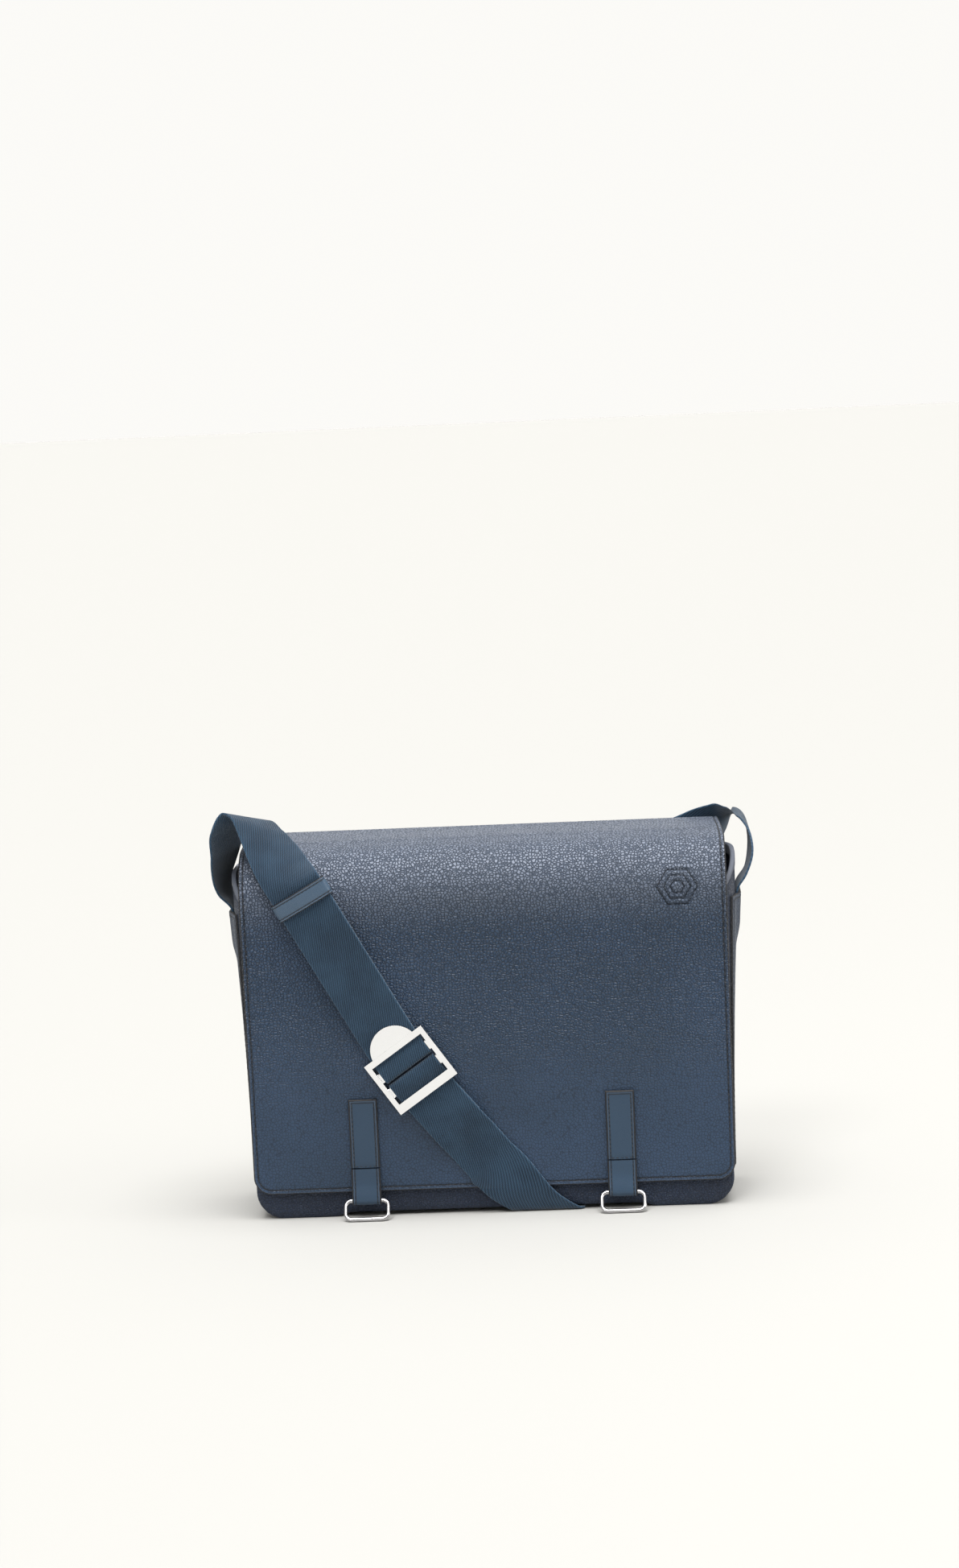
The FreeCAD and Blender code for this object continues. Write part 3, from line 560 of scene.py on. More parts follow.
def stitchRow(places, normals, pitch=4.2, length=2.9, radius=0.33):
    # One stitch is a short thread that dips into the leather at both ends. Rings of six points make it.
    run = distances(places)
    at = np.arange(pitch / 2, run[-1], pitch)
    centre, heading = placesAt(at, run, places), headingsAt(at, run, places, 0.3)
    up = unit(placesAt(at, run, normals))
    side = unit(np.cross(heading, up))
    up = np.cross(side, heading)
    steps = np.array([-1.0, -0.75, -0.25, 0.25, 0.75, 1.0])
    size = np.array([0.3, 0.85, 1.0, 1.0, 0.85, 0.3])
    dip = np.array([-1.4, -0.35, 0.0, 0.0, -0.35, -1.4])
    turn, lift = np.arange(6) * math.pi / 3, 0.08
    grid = (centre[:, None, None, :] + heading[:, None, None, :] * (steps * length / 2)[None, :, None, None]
            + up[:, None, None, :] * (lift + radius * dip[None, :, None] + radius * size[None, :, None]
                                      * np.sin(turn)[None, None, :])[..., None]
            + side[:, None, None, :] * (radius * 1.15 * size[None, :, None] * np.cos(turn)[None, None, :])[..., None])
    caps = np.array([[0, 1, 2, 3], [0, 3, 4, 5], [33, 32, 31, 30], [35, 34, 33, 30]])
    faces = np.vstack([gridFaces(6, 6, wrapCols=True), caps])
    stitchPoints = len(steps) * len(turn)
    faces = (faces[None] + (np.arange(len(at)) * stitchPoints)[:, None, None]).reshape(-1, 4)
    return grid.reshape(-1, 3), faces


def stitchPiece(name, runs, body, **style):
    # Rows of stitches in one mesh.
    points, faces, start = [], [], 0
    for places, normals in runs:
        p, f = stitchRow(np.asarray(places), np.asarray(normals), **style)
        points.append(p)
        faces.append(f + start)
        start += len(p)
    return makePiece(name, np.vstack(points), np.vstack(faces), threadCloth, body=body, sharp=180)


def flapEdgeRun(margin):
    # The line that stays one distance in from the flap's sides and lower edge.
    straight = flapLength - flap["corner"]
    down = np.arange(62.0, straight, 1.0)
    turn = np.linspace(0, math.pi / 2, 24)
    radius = flap["corner"] - margin
    x = np.concatenate([flapWidths(down) - margin,
                        flap["half"] - flap["corner"] + radius * np.cos(turn)])
    s = np.concatenate([down, straight + radius * np.sin(turn)])
    bottom = np.arange(flap["half"] - flap["corner"] - 1, 0, -1.0)
    x = np.concatenate([x, bottom])
    s = np.concatenate([s, np.full(len(bottom), flapLength - margin)])
    return np.concatenate([x, -x[::-1]]), np.concatenate([s, s[::-1]])


x, s = flapEdgeRun(flap["seam"])
level = flapWaver(x, s) - 0.35
places = onFlap(x, s, level)
normals = onFlap(x, s, level + 1.0) - places
stitchPiece("flap_stitches", [(places, normals)], "flap")
x = np.arange(-166.0, 166.1, 2.0)
stitchPiece("back_strip_stitches", [(onFlap(x, np.full(len(x), s), np.full(len(x), -0.02)),
                                     repeated((0, 1, 0), len(x))) for s in (3.6, 38.0)], "bag")
print("flap stitched")


# Body

def baseLift(x):
    # The base stands off the ground between its two feet.
    return body["lift"] * smoothStep(-body["liftFoot"], -body["liftEnd"], -np.abs(x))


def bodyPanel(name, face, outSign, top, node):
    # A flat panel with two round lower corners, whose edges roll back to the seams.
    rows = np.concatenate([edgeSteps[:8] * 0.6, np.arange(3, top - 24, 5.0), np.linspace(top - 23, top - 9, 14),
                           top - edgeSteps[::-1][3:]])
    widths = rowHalfWidths(rows, body["half"], top, body["corner"])
    x = spread(widths, np.linspace(-0.98, 0.98, 66))
    down = np.broadcast_to(rows[:, None], x.shape)
    inset = insideBy(x, down, body["half"], top, body["corner"])
    z = top - down * (1 - baseLift(x) / top)
    crown = smoothStep(0, 60, inset) * waver(x, z, 0.5, 0.7 * outSign)
    outer = rolled(inset, 7.0, body["leather"] - 0.02) + crown
    outer = np.minimum(outer, rolled(down, 0.9, 0.9))
    place = [np.stack([x, face + outSign * level, z], -1) for level in (outer, np.full(x.shape, -body["leather"]))]
    return shellPiece(name, place[0], place[1], shadedBodyLeather, inset=np.minimum(inset, 20), slot="grained_leather",
                      body="bag", stands=(node,))


bodyPanel("front_leather", body["front"], -1, body["frontTop"], "front_panel")
bodyPanel("back_leather", body["back"], 1, body["backTop"], "back_panel")

wallFront, wallBack = body["front"] + body["leather"] + 0.05, body["back"] - body["leather"] - 0.05
wallRows = np.concatenate([wallFront + edgeSteps, np.linspace(wallFront + 15, wallBack - 15, 14),
                           wallBack - edgeSteps[::-1]])


def gussetTop(y):
    # Height of a gusset's top edge: level behind, then down at 45 degrees below the flap's shoulder.
    slope = body["frontTop"] + (y - wallFront)
    soft = 6.0
    return body["gussetTop"] - 0.98 * soft * np.log1p(np.exp(np.clip((body["gussetTop"] - slope) / soft, -40, 40)))


def wallEnds(y):
    # A wall's front and back edges roll in to the seams.
    near = np.minimum(y - wallFront, wallBack - y)
    return rolled(near, 5.0, 0.9) + groove(near, 0.0, 0.8, 0.3)


def gussetPiece(side, word):
    # A bulging wall down to 30 mm, then a strip round the lower corner to the base.
    corner = roundedPath([(body["half"], 30.0), (body["half"], 0.0), (body["liftFoot"], 0.0),
                          (body["liftEnd"], body["lift"]), (99.9, body["lift"])], [body["corner"], 12.0, 12.0], 1.2)
    heading = unit(np.gradient(corner, axis=0))
    out = np.stack([-heading[:, 1], heading[:, 0]], -1)
    y = wallRows[None, :]
    t = np.linspace(0, 1, 60)[:, None]
    z = gussetTop(y) * (1 - t) + 30.0 * t
    layers = []
    for depth in (0.0, body["leather"]):
        soft = wallEnds(y) if depth == 0 else np.zeros_like(y)
        topRoll = rolled((gussetTop(y) - z), 0.8, 0.8) if depth == 0 else 0
        upX = body["half"] - depth + bulge(y, z) + soft + topRoll
        upper = np.stack([side * upX, np.broadcast_to(y, z.shape), z], -1)
        level = -depth + soft
        lowX = corner[1:, :1] + out[1:, :1] * level
        lowZ = corner[1:, 1:] + out[1:, 1:] * level
        lower = np.stack([side * lowX, np.broadcast_to(y, lowX.shape), np.maximum(lowZ, 0.0)], -1)
        layers.append(np.concatenate([upper, lower]))
    return shellPiece("gusset_leather_" + word, layers[0], layers[1], shadedBodyLeather, slot="grained_leather",
                      body="bag", stands=("gusset_" + word,))


for side, word in sides:
    gussetPiece(side, word)
x, y = np.meshgrid(np.linspace(-99.9, 99.9, 60), wallRows)
outer = np.stack([x, y, body["lift"] - wallEnds(y) + 0 * x], -1)
inner = np.stack([x, y, np.full(x.shape, body["lift"] + body["leather"])], -1)
shellPiece("base_leather", outer, inner, shadedBodyLeather, slot="grained_leather", body="bag",
           stands=("base_panel",))


def sideSheet(y, z, level, side):
    # Places off a gusset's outer face.
    return np.stack([side * (body["half"] + bulge(y, z) + level), y, z], -1)


patch = {"inset": 8.0, "low": 26.0, "high": 224.2, "radius": 6.0, "thin": 1.9, "over": 4.35, "seam": 3.0}


def overStrapEnd(y):
    # 1 over the strap's sewn end and 0 beside it.
    return 1 - smoothStep(17, 27, np.abs(y - body["middle"]))


def patchPiece(side, word):
    # Outer leather of a gusset. It stands proud where the strap's end is sewn in behind it.
    low, high = body["front"] + patch["inset"], body["back"] - patch["inset"]
    mid, half, length = (low + high) / 2, (high - low) / 2, patch["high"] - patch["low"]
    rows = np.concatenate([edgeSteps[:12], np.arange(6, length - 9, 4.0), length - edgeSteps[::-1]])
    widths = rowHalfWidths(rows, half, length, patch["radius"])
    across = spread(widths, np.linspace(-0.95, 0.95, 22))
    down = np.broadcast_to(rows[:, None], across.shape)
    inset = np.minimum(insideBy(across, down, half, length, patch["radius"]), down)
    z, y = patch["high"] - down, mid + across
    over = overStrapEnd(y) * (1 - smoothStep(22, 40, down))
    level = patch["thin"] + (patch["over"] - patch["thin"]) * over
    level = level + rolled(inset, 0.9, 0.9) + groove(inset, patch["seam"], 0.5, 0.3)
    outer = sideSheet(y, z, level, side)
    inner = sideSheet(y, z, np.maximum(0.25, level - 1.5 - 1.0 * (over < 0.05)), side)
    shellPiece("gusset_patch_" + word + "_leather", outer, inner, edgedLeather, inset=inset,
               slot="grained_leather", body="bag", stands=("gusset_patch_" + word,))
    run = np.arange(patch["high"] - 2.0, patch["low"] + 3.0, -1.5)
    runs = []
    for edge in (low + patch["seam"], high - patch["seam"]):
        places = sideSheet(np.full(len(run), edge), run, patch["thin"] - 0.25, side)
        runs.append((places, repeated((side, 0, 0), len(run))))
    cross = np.linspace(low + 5, high - 5, 50)
    for height in (patch["low"] + patch["seam"], patch["high"] - patch["seam"]):
        over = overStrapEnd(cross) * (height > 100)
        level = patch["thin"] - 0.22 + (patch["over"] - patch["thin"]) * over
        runs.append((sideSheet(cross, np.full(len(cross), height), level, side),
                     repeated((side, 0, 0), len(cross))))
    stitchPiece("gusset_stitches_" + word, runs, "bag")


for side, word in sides:
    patchPiece(side, word)

binding = {"reach": 6.6, "leather": 0.5, "turn": 1.1}


def bindingPiece(name, centre, outwards, upwards, thick, node):
    # A folded strip: up one face, over the edge and down the other, carried along the edge.
    half = thick / 2 + binding["leather"] - 0.02
    reachDown, turn = binding["reach"], binding["turn"]
    outline = roundedPath([(half, -reachDown), (half, binding["leather"]), (-half, binding["leather"]),
                           (-half, -reachDown)], [turn, turn], 0.3)
    insideHalf = thick / 2 + 0.03
    hollow = np.array([(-insideHalf, -reachDown), (-insideHalf, 0.03), (insideHalf, 0.03),
                       (insideHalf, -reachDown)])
    profile = np.vstack([outline, hollow])
    grid = sweep(centre, outwards, upwards, profile)
    return sweptPiece(name, grid, bindingLeather, slot="smooth_leather", body="bag", stands=(node,), sharp=60)


for side, word in sides:
    y = np.linspace(wallFront + 0.3, wallBack - 0.3, 60)
    z = gussetTop(y)
    centre = sideSheet(y, z, -body["leather"] / 2, side)
    path = np.gradient(centre, axis=0)
    out = repeated((side, 0, 0), len(y))
    up = unit(np.cross(unit(path), out) * side)
    up = up * np.sign(up[:, 2:])
    bindingPiece("gusset_binding_leather_" + word, centre, out, up, body["leather"], "gusset_binding_" + word)
x = np.linspace(-169.5, 169.5, 60)
centre = np.stack([x, np.full(60, body["front"] + body["leather"] / 2), np.full(60, body["frontTop"])], -1)
bindingPiece("front_binding_leather", centre, repeated((0, -1, 0), 60), repeated((0, 0, 1), 60),
             body["leather"], "front_binding")


def aroundInside(gap, radius):
    # Round the inside of the bag: a rectangle with round corners, its points a fixed distance apart.
    x0, y0, y1 = 171.3 - gap, -46.0 + gap, 40.6 - gap
    corners = [(0, y0), (x0, y0), (x0, y1), (-x0, y1), (-x0, y0), (-0.01, y0)]
    return closedLoop(corners, [radius] * 4, 0.8, 220)


def insideWall(gap, radius, heights, folds=0.0):
    # The wall follows the gussets' bulge. Folds are shallow waves that only go inwards.
    ring = aroundInside(gap, radius)
    x, y = np.broadcast_to(ring[None, :, 0], (len(heights), len(ring))), ring[None, :, 1]
    z = np.broadcast_to(heights[:, None], x.shape)
    y = np.broadcast_to(y, x.shape)
    side = smoothStep(165, 170.5, np.abs(x) + gap)
    wave = folds * (0.5 + 0.5 * np.sin(x / 23.0 + z / 31.0) * np.cos(x / 37.0 - z / 19.0 + y / 17.0))
    pull = wave * smoothStep(15, 60, z) * smoothStep(205, 180, z)
    xOut = x * (1 - pull / 171.0) + np.sign(x) * side * bulge(y, z)
    yOut = body["middle"] + (y - body["middle"]) * (1 - pull / 43.0)
    return np.stack([xOut, yOut, z], -1)


facing = {"low": 204.5, "high": 232.2, "leather": 1.7}
heights = np.concatenate([facing["low"] + edgeSteps[:9], np.linspace(209, 227, 6),
                          facing["high"] - edgeSteps[:9][::-1]])
lipped = np.minimum(heights - facing["low"], facing["high"] - heights)
outer, inner = insideWall(0.05, 3.0, heights), insideWall(facing["leather"], 3.0, heights)
blendIn = (-rolled(lipped, 0.8, 0.8) / facing["leather"])[:, None, None]
facingInset = np.broadcast_to(lipped[:, None], outer.shape[:2])
shellPiece("mouth_facing_leather", outer, inner * (1 - blendIn) + outer * blendIn, edgedLeather,
           inset=facingInset, wrapCols=True, slot="smooth_leather", body="bag", stands=("mouth_facing",))


def liningLayer(gap, floorLevel):
    # Folded walls, a quarter circle at their foot, and a floor that closes towards the middle.
    walls = insideWall(gap, 14.0, np.linspace(204.3, floorLevel + 14, 46), 2.2)
    rows = []
    for angle in np.linspace(0, math.pi / 2, 8)[1:]:
        shrink = 14 * (1 - math.cos(angle))
        row = walls[-1].copy()
        row[:, 0] -= np.sign(row[:, 0]) * shrink * smoothStep(120, 160, np.abs(row[:, 0]))
        row[:, 1] = body["middle"] + (row[:, 1] - body["middle"]) * (1 - shrink / 43.0)
        row[:, 2] = floorLevel + 14 * (1 - math.sin(angle))
        rows.append(row)
    end = rows[-1]
    for part in (0.6, 0.3, 0.02):
        row = end.copy()
        row[:, 1] = body["middle"] + (end[:, 1] - body["middle"]) * part
        rows.append(row)
    return np.concatenate([walls, np.array(rows)])


outer, inner = liningLayer(0.1, 8.3), liningLayer(0.85, 9.05)
liningPiece = shellPiece("lining_cloth", outer, inner, liningCloth, wrapCols=True, slot="lining_cloth", body="bag",
                         stands=("lining",))

pocket = {"half": 74.8, "low": 95.2, "high": 203.6, "back": 39.7}
down = np.concatenate([edgeSteps[:12] * 0.7, np.linspace(6, 104, 26), 108.4 - edgeSteps[:8][::-1] * 0.7])
x = spread(np.full(len(down), pocket["half"]), np.linspace(-0.95, 0.95, 26), edgeSteps[:12])
z = pocket["high"] - np.broadcast_to(down[:, None], x.shape)
edge = np.minimum(pocket["half"] - np.abs(x), z - pocket["low"])
stand = 0.9 + 1.6 * smoothStep(1, 14, edge) * smoothStep(95, 190, z)
hem = 0.25 * np.exp(-((down - 8.0) / 1.0) ** 2)[:, None]
outer = np.stack([x, pocket["back"] - stand + hem, z], -1)
inner = np.stack([x, pocket["back"] - stand + 0.75 + hem, z], -1)
pocketPiece = shellPiece("inner_pocket_cloth", outer, inner, liningCloth, slot="lining_cloth", body="bag",
                         stands=("inner_pocket",))
print("body made")


# Closure tabs and rings

tab = {"x": 93.0, "half": 10.5, "top": 88.0, "fold": 37.0, "leather": 2.4, "seam": 2.5, "loop": 1.3,
       "barY": -56.4, "barZ": 13.5}
ring = {"wire": 1.5, "half": 15.5, "height": 15.0, "corner": 4.5, "lean": math.acos(11.8 / 15.0)}


tabSteps = (0, 0.12, 0.35, 0.7, 1.2, 1.7, 2.1, 2.5, 2.9, 3.4, 4.5, 7)


def stripProfile(half, thick, seam, grooveDepth, steps, edge=0.6):
    # Section of a strip: both faces between rounded edges, and a groove for the stitches in its outer face.
    steps = np.array(steps)
    steps = steps[steps < half]
    across = np.concatenate([-half + steps, [0.0], half - steps[::-1]])
    inset = half - np.abs(across)
    top = thick / 2 + rolled(inset, edge, min(edge, thick / 2)) + groove(inset, seam, 0.42, grooveDepth)
    low = -thick / 2 - rolled(inset, edge, min(edge, thick / 2))
    profile = np.concatenate([np.stack([across, top], -1), np.stack([across, low], -1)[::-1][1:-1]])
    return profile, np.concatenate([inset, inset[::-1][1:-1]])


def tabPieces(side, word):
    x0 = side * tab["x"]
    steps = edgeSteps[:13]
    rows = np.concatenate([steps, np.linspace(7.5, 47.0, 18), [48.5, 49.4, 50.0, 50.4]])
    across = spread(np.full(len(rows), tab["half"]), np.linspace(-0.9, 0.9, 7), edgeSteps[:12])
    down = np.broadcast_to(rows[:, None], across.shape)
    side0 = tab["half"] - np.abs(across)
    inset = np.minimum(side0, down)
    crossSeam = groove(down, tab["top"] - tab["fold"] - 1.4, 0.45, 0.3) * smoothStep(2.2, 2.8, side0)
    level = tab["leather"] - 0.15 + rolled(inset, 0.9, 1.0) + groove(side0, tab["seam"], 0.42, 0.3) + crossSeam
    level = level + 0.15 * smoothStep(2.5, 9, side0)
    outer = np.stack([x0 + across, flap["front"] - level, tab["top"] - down], -1)
    inner = np.stack([x0 + across, np.full(across.shape, flap["front"] - 0.02), tab["top"] - down], -1)
    shellPiece("tab_leather_" + word, outer, inner, tabLeather, inset=inset, slot="smooth_leather", body="flap",
               stands=("tab_" + word,))
    outLevel = flap["front"] - tab["leather"] + 0.3
    z = np.arange(tab["top"] - 3.0, tab["fold"] + 1.5, -1.0)
    runs = []
    for edge in (-1, 1):
        xs = np.full(len(z), x0 + edge * (tab["half"] - tab["seam"]))
        runs.append((np.stack([xs, np.full(len(z), outLevel), z], -1), repeated((0, -1, 0), len(z))))
    xs = np.linspace(x0 - tab["half"] + tab["seam"], x0 + tab["half"] - tab["seam"], 30)
    cross = np.stack([xs, np.full(30, outLevel), np.full(30, tab["fold"] + 1.4)], -1)
    runs.append((cross, repeated((0, -1, 0), 30)))
    stitchPiece("tab_stitches_" + word, runs, "flap", pitch=3.3, length=2.3, radius=0.27)

    # The free end goes down in front, round the ring's upper bar and up again behind it.
    wrap = ring["wire"] + 0.25 + tab["loop"] / 2
    frontY, backY = flap["front"] - 2.3, flap["front"] - 0.95
    barY, barZ = tab["barY"], tab["barZ"]
    turn = np.radians(np.linspace(172, 372, 26))
    eye = np.stack([barY + wrap * np.cos(turn), barZ + wrap * np.sin(turn)], -1)
    frontRun = np.stack([np.interp(np.linspace(0, 1, 14), [0, 0.5, 1], [frontY, frontY - 0.8, eye[0, 0]]),
                         np.linspace(tab["fold"] - 0.4, eye[0, 1] + 1.0, 14)], -1)
    backRun = np.stack([np.interp(np.linspace(0, 1, 14), [0, 0.5, 1], [eye[-1, 0] + 0.2, backY - 0.75, backY]),
                        np.linspace(eye[-1, 1] + 1.2, tab["fold"] - 0.4, 14)], -1)
    line = np.vstack([frontRun, eye, backRun])
    for _ in range(3):
        line[1:-1] = line[1:-1] * 0.5 + (line[:-2] + line[2:]) * 0.25
    heading = unit(np.gradient(line, axis=0))
    centres = np.stack([np.full(len(line), x0), line[:, 0], line[:, 1]], -1)
    out = np.stack([np.zeros(len(line)), heading[:, 1], -heading[:, 0]], -1)
    sideways = repeated((1, 0, 0), len(line))
    profile, profileInset = stripProfile(tab["half"], tab["loop"], tab["seam"], 0.25, tabSteps)
    grid = sweep(centres, sideways, out, profile)
    sweptPiece("tab_loop_leather_" + word, grid, tabLeather, inset=np.tile(profileInset, (len(line), 1)),
               slot="smooth_leather", body="loop_" + word, stands=("tab_loop_" + word,))
    runs = []
    for edge in (-1, 1):
        place = centres[1:16] + out[1:16] * (tab["loop"] / 2 - 0.2)
        place = place + np.array([edge * (tab["half"] - tab["seam"]), 0, 0])
        runs.append((place, out[1:16]))
    stitchPiece("tab_loop_stitches_" + word, runs, "loop_" + word, pitch=3.3, length=2.3, radius=0.27)

    # The ring is a round wire along a rectangle with round corners, which leans forward from its upper bar.
    half, height = ring["half"], ring["height"]
    flatAt = closedLoop([(0, 0), (half, 0), (half, -height), (-half, -height), (-half, 0), (-0.02, 0)],
                        [ring["corner"]] * 4, 0.7, 120)
    ahead = loopHeadings(flatAt)
    lean = ring["lean"]
    downWay = np.array([0.0, math.sin(lean), math.cos(lean)])
    facingWay = np.array([0.0, -math.cos(lean), math.sin(lean)])
    centres = np.array([x0, barY, barZ]) + flatAt[:, :1] * np.array([1.0, 0, 0]) + flatAt[:, 1:] * downWay
    sidewaysWay = ahead[:, 1:] * np.array([1.0, 0, 0]) - ahead[:, :1] * downWay
    turn = np.arange(20) * 2 * math.pi / 20
    profile = ring["wire"] * np.stack([np.cos(turn), np.sin(turn)], -1)
    grid = sweep(centres, sidewaysWay, repeated(facingWay, len(centres)), profile)
    sweptPiece("ring_wire_" + word, grid, shadedRingSteel, closed=True, slot="polished_steel", body="hoop_" + word,
               stands=("ring_" + word,), sharp=180)


for side, word in sides:
    tabPieces(side, word)
print("tabs and rings made")


# Strap. Its sections are a middle and the way across it, as in the part's own route.

strap = {"width": 40.0, "thick": 1.6, "gap": 0.3, "keeperX": -129.0, "keeperZ": 236.0, "buckleX": -56.5,
         "buckleZ": 109.4, "buckleSlope": 55.3, "lowerSlope": 50.8, "buckleLength": 43.8, "topBar": 4.7,
         "bottomBar": 6.7, "barWidth": 8.0, "barThick": 2.0, "barSpacing": 13.0, "keeperLength": 13.5,
         "tail": 8.0, "seam": 32.0, "tailLevel": 2.3, "mainLevel": 4.2, "freeTop": 272.0}
barWrap = strap["barThick"] / 2 + 0.25 + strap["thick"] / 2
barLevel = strap["tailLevel"] + barWrap
overLevel = barLevel + barWrap
flatLevel = strap["gap"] + 0.1 + strap["thick"] / 2


def slopeFrame(slope, x, z):
    # A start on the flap's front and the ways along and across a strap at that slope.
    c, s = math.cos(math.radians(slope)), math.sin(math.radians(slope))
    return {"at": np.array([x, flap["front"], z]), "along": np.array([c, 0, -s]), "across": np.array([s, 0, c])}


slope = math.radians(strap["buckleSlope"])
headX = strap["buckleX"] - math.cos(slope) * strap["buckleLength"] / 2
headZ = strap["buckleZ"] + math.sin(slope) * strap["buckleLength"] / 2
tailX, tailZ = 2 * strap["buckleX"] - headX, 2 * strap["buckleZ"] - headZ
upperLength = math.hypot(strap["keeperZ"] - headZ, headX - strap["keeperX"])
upper = slopeFrame(math.degrees(math.atan2(strap["keeperZ"] - headZ, headX - strap["keeperX"])),
                   strap["keeperX"], strap["keeperZ"])
head = slopeFrame(strap["buckleSlope"], headX, headZ)
lower = slopeFrame(strap["lowerSlope"], tailX, tailZ)
slideBar = strap["buckleLength"] / 2 - strap["barSpacing"] / 2 - 0.9
loopBar = slideBar + strap["barSpacing"]
offFlap = np.array([0.0, -1.0, 0.0])


# Sections of the strap: on the flap, free beside the bag, level under it, up its back, and sewn in a gusset.

def on(place, along, level):
    return place["at"] + place["along"] * along + offFlap * level, -place["across"]


def free(side, front, back):
    edges = [np.array([side * (body["half"] + out), body["middle"] + deep, strap["freeTop"] + up])
             for out, deep, up in (front, back)]
    return (edges[0] + edges[1]) / 2, unit(edges[0] - edges[1])


def level(x, y, z, acrossY=0.0, stretch=1.0):
    return np.array([x, y, z], float), unit(np.array([-1.0, acrossY, 0])) * stretch


def onBack(x, z, climb, y):
    angle = math.radians(climb)
    return np.array([x, y, z], float), np.array([-math.sin(angle), 0, math.cos(angle)])


def sewnEnd(side):
    middle = body["middle"]
    return [(np.array([side * (body["half"] + 1.3 + float(bulge(middle, z))), middle, z]), np.array([0.0, -1, 0]))
            for z in (200.0, 226.0)]


def barTurn(centre, first, last):
    # An arc round a bar of the buckle.
    return [on(head, centre + barWrap * math.cos(a), barLevel + barWrap * math.sin(a))
            for a in np.radians(np.linspace(first, last, 13))]


def ribbon(stations, spacing=2.2):
    # Sections are put in between with a curve through the given ones, timed by the root of each run's length.
    mids = np.array([m for m, _ in stations])
    ways = np.array([w for _, w in stations])
    gaps = np.maximum(np.linalg.norm(np.diff(mids, axis=0), axis=1), 1e-6)
    knots = np.concatenate([[0], np.cumsum(np.sqrt(gaps))])
    gaps0 = np.diff(knots)
    slopes = np.diff(mids, axis=0) / gaps0[:, None]
    tangent = np.vstack([slopes[:1], (slopes[:-1] * gaps0[1:, None] + slopes[1:] * gaps0[:-1, None])
                         / (gaps0[:-1] + gaps0[1:])[:, None], slopes[-1:]])
    outMids, outWays = [], []
    for i, gap in enumerate(gaps):
        steps = max(1, int(math.ceil(gap / spacing)))
        t = np.arange(steps)[:, None] / steps
        h = gaps0[i]
        a, b, c, d = mids[i], mids[i + 1], tangent[i] * h, tangent[i + 1] * h
        outMids.append(a * (1 - 3 * t ** 2 + 2 * t ** 3) + b * (3 * t ** 2 - 2 * t ** 3)
                       + c * (t - 2 * t ** 2 + t ** 3) + d * (t ** 3 - t ** 2))
        ease = t if np.allclose(ways[i], ways[i + 1]) else t * t * (3 - 2 * t) * 0.3 + t * 0.7
        way = ways[i] * (1 - ease) + ways[i + 1] * ease
        size = np.linalg.norm(ways[i]) * (1 - t) + np.linalg.norm(ways[i + 1]) * t
        outWays.append(unit(way) * size)
    return np.vstack(outMids + [mids[-1:]]), np.vstack(outWays + [ways[-1:]])


def strapSection():
    # Flat in the middle, round at its woven edges, which are a little thicker.
    half, thick = strap["width"] / 2, strap["thick"] / 2
    across = half * np.array([-1, -0.992, -0.975, -0.94, -0.88, -0.75, -0.5, -0.25, 0, 0.25, 0.5, 0.75, 0.88,
                              0.94, 0.975, 0.992, 1])
    near = 1 - np.abs(across) / half
    height = thick * np.sqrt(np.clip(1 - (1 - np.clip(near / 0.03, 0, 1)) ** 2, 0, 1)) * (
        0.93 + 0.07 * np.exp(-((near - 0.05) / 0.04) ** 2))
    height[0] = height[-1] = 0
    top, low = np.stack([across, height], -1), np.stack([across, -height], -1)[::-1][1:-1]
    side = np.concatenate([across, across[::-1][1:-1]])
    return np.concatenate([top, low]), side / strap["width"] + 0.5


def strapPiece(name, stations, runStart=0.0, **rest):
    # The strap's section carried along the ribbon, with the weave's map measured along it.
    mids, ways = ribbon(stations)
    ahead = unit(np.gradient(mids, axis=0))
    normal = unit(np.cross(ways, ahead))
    profile, u = strapSection()
    grid = sweep(mids, ways, normal, profile)
    run = (distances(mids) + runStart) / strap["width"]
    uv = np.stack(np.broadcast_arrays(u[None, :], run[:, None]), -1)
    return sweptPiece(name, grid, webbing, uv=uv, slot="webbing", sharp=70, **rest), run[-1] * strap["width"]


leftLoop = [((18, -22.5, -35), (12.5, 16.5, -36)), ((21, -26.5, -24), (11.5, 12, -24)),
            ((21, -32.5, -8), (5.5, 5, -9)),
            ((18.5, -36.5, 12), (-4, -6.5, 12)), ((12, -36.5, 26), (-23, -15.5, 16)),
            ((5, -38.5, 22.5), (-31, -21.5, 10)), ((-1, -42.5, 9), (-38, -25.5, 3.5)),
            ((-6, -47, -5), (-43, -29.5, -1)), ((-12.5, -51.5, -18.5), (-48.5, -38.5, -8))]
rightLoop = [((-5.5, 45.5, 8), (-3, 61.5, -26)), ((3.5, 37.5, 6), (4, 66.5, -12)), ((11.5, 26, 2), (10, 61.5, 3)),
             ((18, 13, -4), (16, 51, 1)), ((21, 0, -12), (19, 39, -6)), ((21, -11.5, -22), (19.5, 27.5, -20)),
             ((16, -17.5, -35), (16.5, 22.5, -35))]

